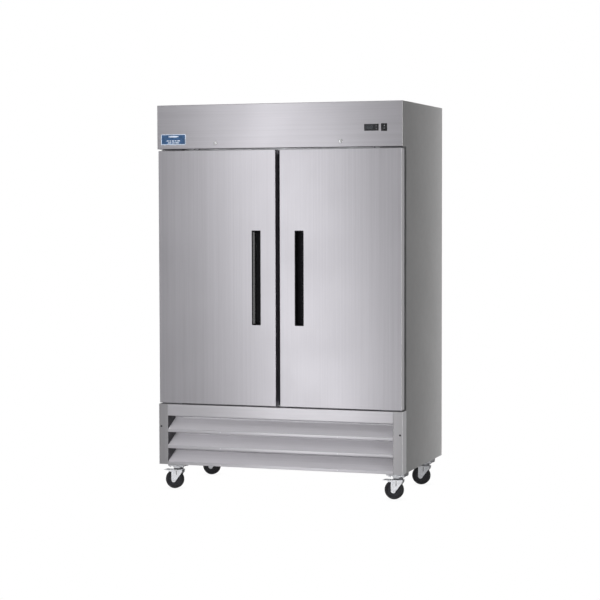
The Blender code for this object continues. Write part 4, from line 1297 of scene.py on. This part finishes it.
def condensing_unit():
    low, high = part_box("condenser_coil")
    coil(low, high, "condenser_fins", "condenser_tubes", "condenser_coil", 80, (8, 2))
    low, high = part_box("condenser_shroud")
    centre = ((low.x + high.x) / 2, CONDENSER_FAN[2])
    bm = bmesh.new()
    opening = circle(*centre, 0.111, 48)
    plate(bm, [rounded(low.x, high.x, low.z, high.z, 0.006), opening], high.y - 0.0015, high.y, "XZ", 0.0004)
    for z0 in (low.z, high.z - 0.0015):
        box(bm, (low.x, low.y, z0), (high.x, high.y, z0 + 0.0015), 0.0004)
    for x0 in (low.x, high.x - 0.0015):
        box(bm, (x0, low.y, low.z), (x0 + 0.0015, high.y, high.z), 0.0004)
    for x, z in diagonals(*centre, 0.128):
        bolt(bm, (x, high.y, z), BACKWARD, 0.004, 0.003)
    piece("condenser_cowl", bm, "galvanised", "galvanised", ["condenser_shroud"])
    fan("condenser_blades", CONDENSER_FAN, 0.103, 0.025, 0.028, "condenser_fan")
    bm = bmesh.new()
    guard(bm, (centre[0], high.y + 0.004, centre[1]), 0.116, 8)
    lathe(bm, disc(0.036, 0.060, 0.006), (centre[0], high.y + 0.008, centre[1]), BACKWARD, 32)
    piece("condenser_motor", bm, "dark", "black")
    pipes()


def pipes():
    """Copper lines between the compressor and the coil, brazed at the can."""
    bm = bmesh.new()
    runs = (
        [(0.395, 0.080, 0.24), (0.440, 0.080, 0.25), (0.462, 0.060, 0.27), (0.462, -0.060, 0.30),
         (0.455, -0.130, 0.33), (0.40, -0.180, 0.35), (0.10, -0.187, 0.36), (-0.075, -0.187, 0.36)],
        [(0.262, 0.080, 0.24), (0.225, 0.080, 0.25), (0.205, 0.06, 0.27), (0.200, -0.04, 0.25),
         (0.15, -0.15, 0.22), (0.05, -0.187, 0.20), (-0.075, -0.187, 0.20)],
    )
    for run in runs:
        tube(bm, smooth_path(run, 6), 0.0046, 10)
    piece("copper_lines", bm, "copper", "zinc")
    bm = bmesh.new()
    box(bm, (0.236, 0.030, 0.235), (0.262, 0.130, 0.305), 0.004, 3)
    piece("compressor_terminal_cover", bm, "dark", "black")


def smooth_path(points, steps):
    """Points along a smooth curve that passes through the given ones."""
    points = [Vector(p) for p in points]
    padded = [2 * points[0] - points[1], *points, 2 * points[-1] - points[-2]]
    out = []
    for a, b, c, d in zip(padded, padded[1:], padded[2:], padded[3:]):
        for i in range(steps):
            t = i / steps
            square = (2 * a - 5 * b + 4 * c - d) * t**2
            cube = (3 * b - a - 3 * c + d) * t**3
            out.append(0.5 * ((2 * b) + (c - a) * t + square + cube))
    out.append(points[-1])
    return out


# ---- casters
PLACES = {
    "front_left": (-SWIVEL_X, SWIVEL_FRONT),
    "front_right": (SWIVEL_X, SWIVEL_FRONT),
    "rear_left": (-SWIVEL_X, SWIVEL_REAR),
    "rear_right": (SWIVEL_X, SWIVEL_REAR),
}
LEG_INNER = 0.0190
LEG_OUTER = 0.0215


def leg_outline():
    """A fork leg seen along the axle, about the swivel axis: wide above, round below."""
    radius = 0.0135
    points = [(-0.0335, 0.1055), (-0.0350, 0.094)]
    for i in range(13):
        angle = math.pi + math.pi * i / 12 * 0.92
        points.append((-TRAIL + radius * math.cos(angle), WHEEL_RADIUS - 0.0035 + radius * math.sin(angle)))
    return points + [(0.0275, 0.092), (0.0285, 0.1055)]


def fork(label, x, y):
    """A pressed fork: ribbed legs, a crown with a race below it, and the axle bolt."""
    bm = bmesh.new()
    for s in (-1, 1):
        low, high = sorted((y + s * LEG_INNER, y + s * LEG_OUTER))
        slot = rounded(x - 0.0078, x - 0.0046, 0.070, 0.099, 0.0014)
        plate(bm, [[(x + a, b) for a, b in leg_outline()], slot], low, high, "XZ", 0.0006)
        rib(bm, x, y, s, ((-0.0245, 0.102), (-0.0235, 0.060)))
        rib(bm, x, y, s, ((0.0150, 0.102), (-0.0125, 0.060)))
        lathe(bm, disc(0.0095, 0.0010, 0.0004), (x - TRAIL, y + s * LEG_OUTER, WHEEL_RADIUS), (0, s, 0), 24)
        lathe(bm, [(0, 0), (0.0072, 0), (0.0072, 0.0040), (0.0060, 0.0048), (0, 0.0048)],
              (x - TRAIL, y + s * (LEG_OUTER + 0.0008), WHEEL_RADIUS), (0, s, 0), 6)
    tube(bm, [(x - TRAIL, y - 0.0235, WHEEL_RADIUS), (x - TRAIL, y + 0.0235, WHEEL_RADIUS)], 0.004, 12)
    crown = rounded(x - 0.0335, x + 0.0285, y - LEG_OUTER, y + LEG_OUTER, 0.004)
    plate(bm, [crown], 0.1028, 0.1064, "XY", 0.0008)
    piece(f"fork_{label}", bm, "zinc", "zinc", [f"caster_fork_{label}"], f"fork_{label}")
    # The race takes the darker zinc copy: painted shade for the shadowed gap between plate and crown.
    bm = bmesh.new()
    lathe(bm, [(0, 0.1058), (0.0262, 0.1058), (0.0272, 0.1075), (0.0262, 0.1098), (0.0235, 0.1125),
               (0.0140, 0.1132), (0, 0.1132)], (x, y, 0), UPWARD, 40)
    piece(f"race_{label}", bm, "plate", "zinc", (), f"fork_{label}")


def rib(bm, x, y, side, ends):
    """A rounded rib pressed out of a leg."""
    (a0, z0), (a1, z1) = ends
    along = Vector((a1 - a0, z1 - z0))
    length = along.length
    half, rise = 0.0042, 0.0014
    rings = []
    for i in range(9):
        t = i / 8
        taper = 1 - 0.45 * t
        fade = min(1.0, 6 * t + 0.15, 6 * (1 - t) + 0.15)
        centre = Vector((a0, z0)) + along * t
        across = Vector((along.y, -along.x)) / length
        ring = []
        for k in range(7):
            angle = math.pi * k / 6
            offset = across * half * taper * math.cos(angle)
            out = rise * fade * math.sin(angle)
            ring.append((x + centre.x + offset.x, y + side * (LEG_OUTER - 0.0004 + out), centre.y + offset.y))
        rings.append(ring)
    loft(bm, rings)


def wheel(label, x, y):
    """A rubber tyre with a rounded tread on a ribbed hub."""
    axis = BACKWARD
    centre = (x - TRAIL, y, WHEEL_RADIUS)
    bm = bmesh.new()
    tread = [(0.0355, 0.0120), (0.0375, 0.0148), (0.0420, 0.0160), (0.0462, 0.0156), (0.0490, 0.0140),
             (0.0503, 0.0110), (WHEEL_RADIUS, 0.0060), (WHEEL_RADIUS, 0.0)]
    profile = tread + [(r, -h) for r, h in reversed(tread[:-1])]
    lathe(bm, profile, centre, axis, 56)
    piece(f"tyre_{label}", bm, "rubber", "rubber", [f"caster_wheel_{label}"], f"wheel_{label}")
    bm = bmesh.new()
    face = [(0.0045, 0.0178), (0.0105, 0.0178), (0.0120, 0.0170), (0.0125, 0.0110), (0.0140, 0.0095),
            (0.0325, 0.0095), (0.0335, 0.0105), (0.0340, 0.0130), (0.0360, 0.0130), (0.0362, 0.0118)]
    lathe(bm, face + [(r, -h) for r, h in reversed(face)], centre, axis, 48)
    for angle in turns(6):
        for s in (-1, 1):
            part = bmesh.new()
            box(part, (0.0120, -0.0012, 0.0090), (0.0338, 0.0012, 0.0118), 0.0006)
            turn = Matrix.Rotation(angle, 4, "Z") @ Matrix.Rotation(0 if s > 0 else math.pi, 4, "X")
            absorb(bm, part, Matrix.Translation(centre) @ towards(axis) @ turn)
    piece(f"hub_{label}", bm, "hub", "rubber", (), f"wheel_{label}")


def pedal(label, x, y):
    """A brake pedal: rolled foot plate on two arms."""
    inner = LEG_OUTER + 0.0005
    bm = bmesh.new()
    line = [(x - 0.079, 0.1012), (x - 0.074, 0.1018), (x - 0.048, 0.1018)]
    folded(bm, line, 0.004, 0.0018, y - inner - 0.002, y + inner + 0.002, "XZ")
    for i in range(4):
        a = x - 0.073 + i * 0.006
        tube(bm, [(a, y - 0.018, 0.1027), (a, y + 0.018, 0.1027)], 0.0007, 6)
    outline = ((0.054, 0.0935), (0.024, 0.0915), (0.0185, 0.0945), (0.0185, 0.0985),
               (0.024, 0.1015), (0.054, 0.1024))
    arm = [(x - a, z) for a, z in outline]
    for s in (-1, 1):
        low, high = sorted((y + s * inner, y + s * (inner + 0.002)))
        plate(bm, [arm], low, high, "XZ", 0.0004)
        lathe(bm, disc(0.0035, 0.0010, 0.0005), (x - 0.024, y + s * (inner + 0.002), 0.0965), (0, s, 0), 16)
    piece(f"pedal_{label}", bm, "zinc", "zinc", [f"brake_pedal_{label}"], f"pedal_{label}")


def casters():
    for label, (x, y) in PLACES.items():
        fork(label, x, y)
        wheel(label, x, y)
        if label.startswith("front"):
            pedal(label, x, y)


# ---- studio
def world():
    """A soft room: brighter in front of the object than behind it, white to the camera."""
    made = bpy.data.worlds.new("studio")
    made.use_nodes = True
    tree = made.node_tree
    coords = new_node(tree, "TexCoord", "Generated", {})
    depth = new_node(tree, "SeparateXYZ", "Y", {"Vector": coords})
    limits = {"From Min": -0.9, "From Max": 0.9, "To Min": 0.38, "To Max": 0.18}
    shade = new_node(
        tree, "MapRange", "Result", {"Value": depth, **limits}, interpolation_type="SMOOTHSTEP"
    )
    to_camera = new_node(tree, "LightPath", "Is Camera Ray", {})
    diffuse = to_camera.node.outputs["Is Diffuse Ray"]
    soft = new_node(tree, "MapRange", "Result", {"Value": diffuse, "To Min": 1.0, "To Max": 0.55})
    strength = new_node(tree, "Math", "Value", {0: shade, 1: soft}, operation="MULTIPLY")
    white = (1, 1, 1, 1)
    room = new_node(tree, "Background", "Background", {"Color": white, "Strength": strength})
    backdrop = new_node(tree, "Background", "Background", {"Color": white, "Strength": 1.0})
    seen = new_node(tree, "MixShader", "Shader", {"Fac": to_camera, 1: room, 2: backdrop})
    set_input(tree, tree.nodes["World Output"], "Surface", seen)
    bpy.context.scene.world = made


def area_light(name, location, target, size, power, lean=0.0, glossy=True):
    """A soft rectangle of light; lean turns it about its own axis, top towards the left."""
    data = bpy.data.lights.new(name, "AREA")
    data.shape = "RECTANGLE"
    data.size, data.size_y = size
    data.energy = power
    obj = new_object(name, data)
    direction = Vector(target) - Vector(location)
    aim = direction.to_track_quat("-Z", "Y").to_matrix().to_4x4()
    turn = Matrix.Rotation(math.radians(lean), 4, "Z")
    obj.matrix_world = Matrix.Translation(location) @ aim @ turn
    obj.visible_camera = False
    obj.visible_glossy = glossy


def floor():
    bm = bmesh.new()
    bmesh.ops.create_grid(bm, x_segments=1, y_segments=1, size=40)
    obj = object_from("floor", bm)
    look = Look("floor_white", (0, 0, 0), 0.9)
    look.set("Emission Color", (1, 1, 1, 1))
    look.set("Specular IOR Level", 0.0)
    # Emission dimmed by ambient occlusion near the casters and cabinet: a painted contact shadow.
    painted_contact_shadow = look.node("AmbientOcclusion", "AO", {"Distance": 0.10})
    look.set("Emission Strength", look.spread(painted_contact_shadow, 0.86, 1.0, 0.0, 0.9))
    obj.data.materials.append(look.material)
    obj.visible_glossy = False
    obj.visible_diffuse = False


def studio():
    world()
    floor()
    area_light("strip", (-0.75, -2.9, 1.12), (-0.75, 0, 1.12), (0.75, 3.2), 10.8, lean=8)
    area_light("top_box", (-0.3, -3.6, 4.2), (0, -0.3, 0.9), (3.0, 2.0), 12)
    area_light("right_box", (3.8, -1.9, 1.3), (-0.1, -0.4, 1.2), (1.2, 2.8), 42)
    area_light("side_strip", (0.80, 1.30, 1.1), (0.69, 0.35, 1.1), (0.24, 2.8), 2.6)
    area_light(
        "front_fill", (-0.6, -4.2, 1.02), (-0.1, -0.35, 0.30), (2.4, 0.3), 125, glossy=False
    )
    bpy.context.scene.view_settings.view_transform = "Standard"


# ---- the whole object
camera()
LOOKS = materials()
cabinet_sheets()
for door_side, door_label in SIDES:
    door_skin(door_side, door_label)
    door_handle(door_side, door_label)
    door_liner(door_side, door_label)
    door_gasket(door_side, door_label)
    hinge(door_side, door_label)
header()
header_screws()
locks()
controller()
power_switch()
badge()
grille()
panel_screws()
compartment_ceiling()
base()
shelves()
racks()
evaporator()
condensing_unit()
casters()
studio()
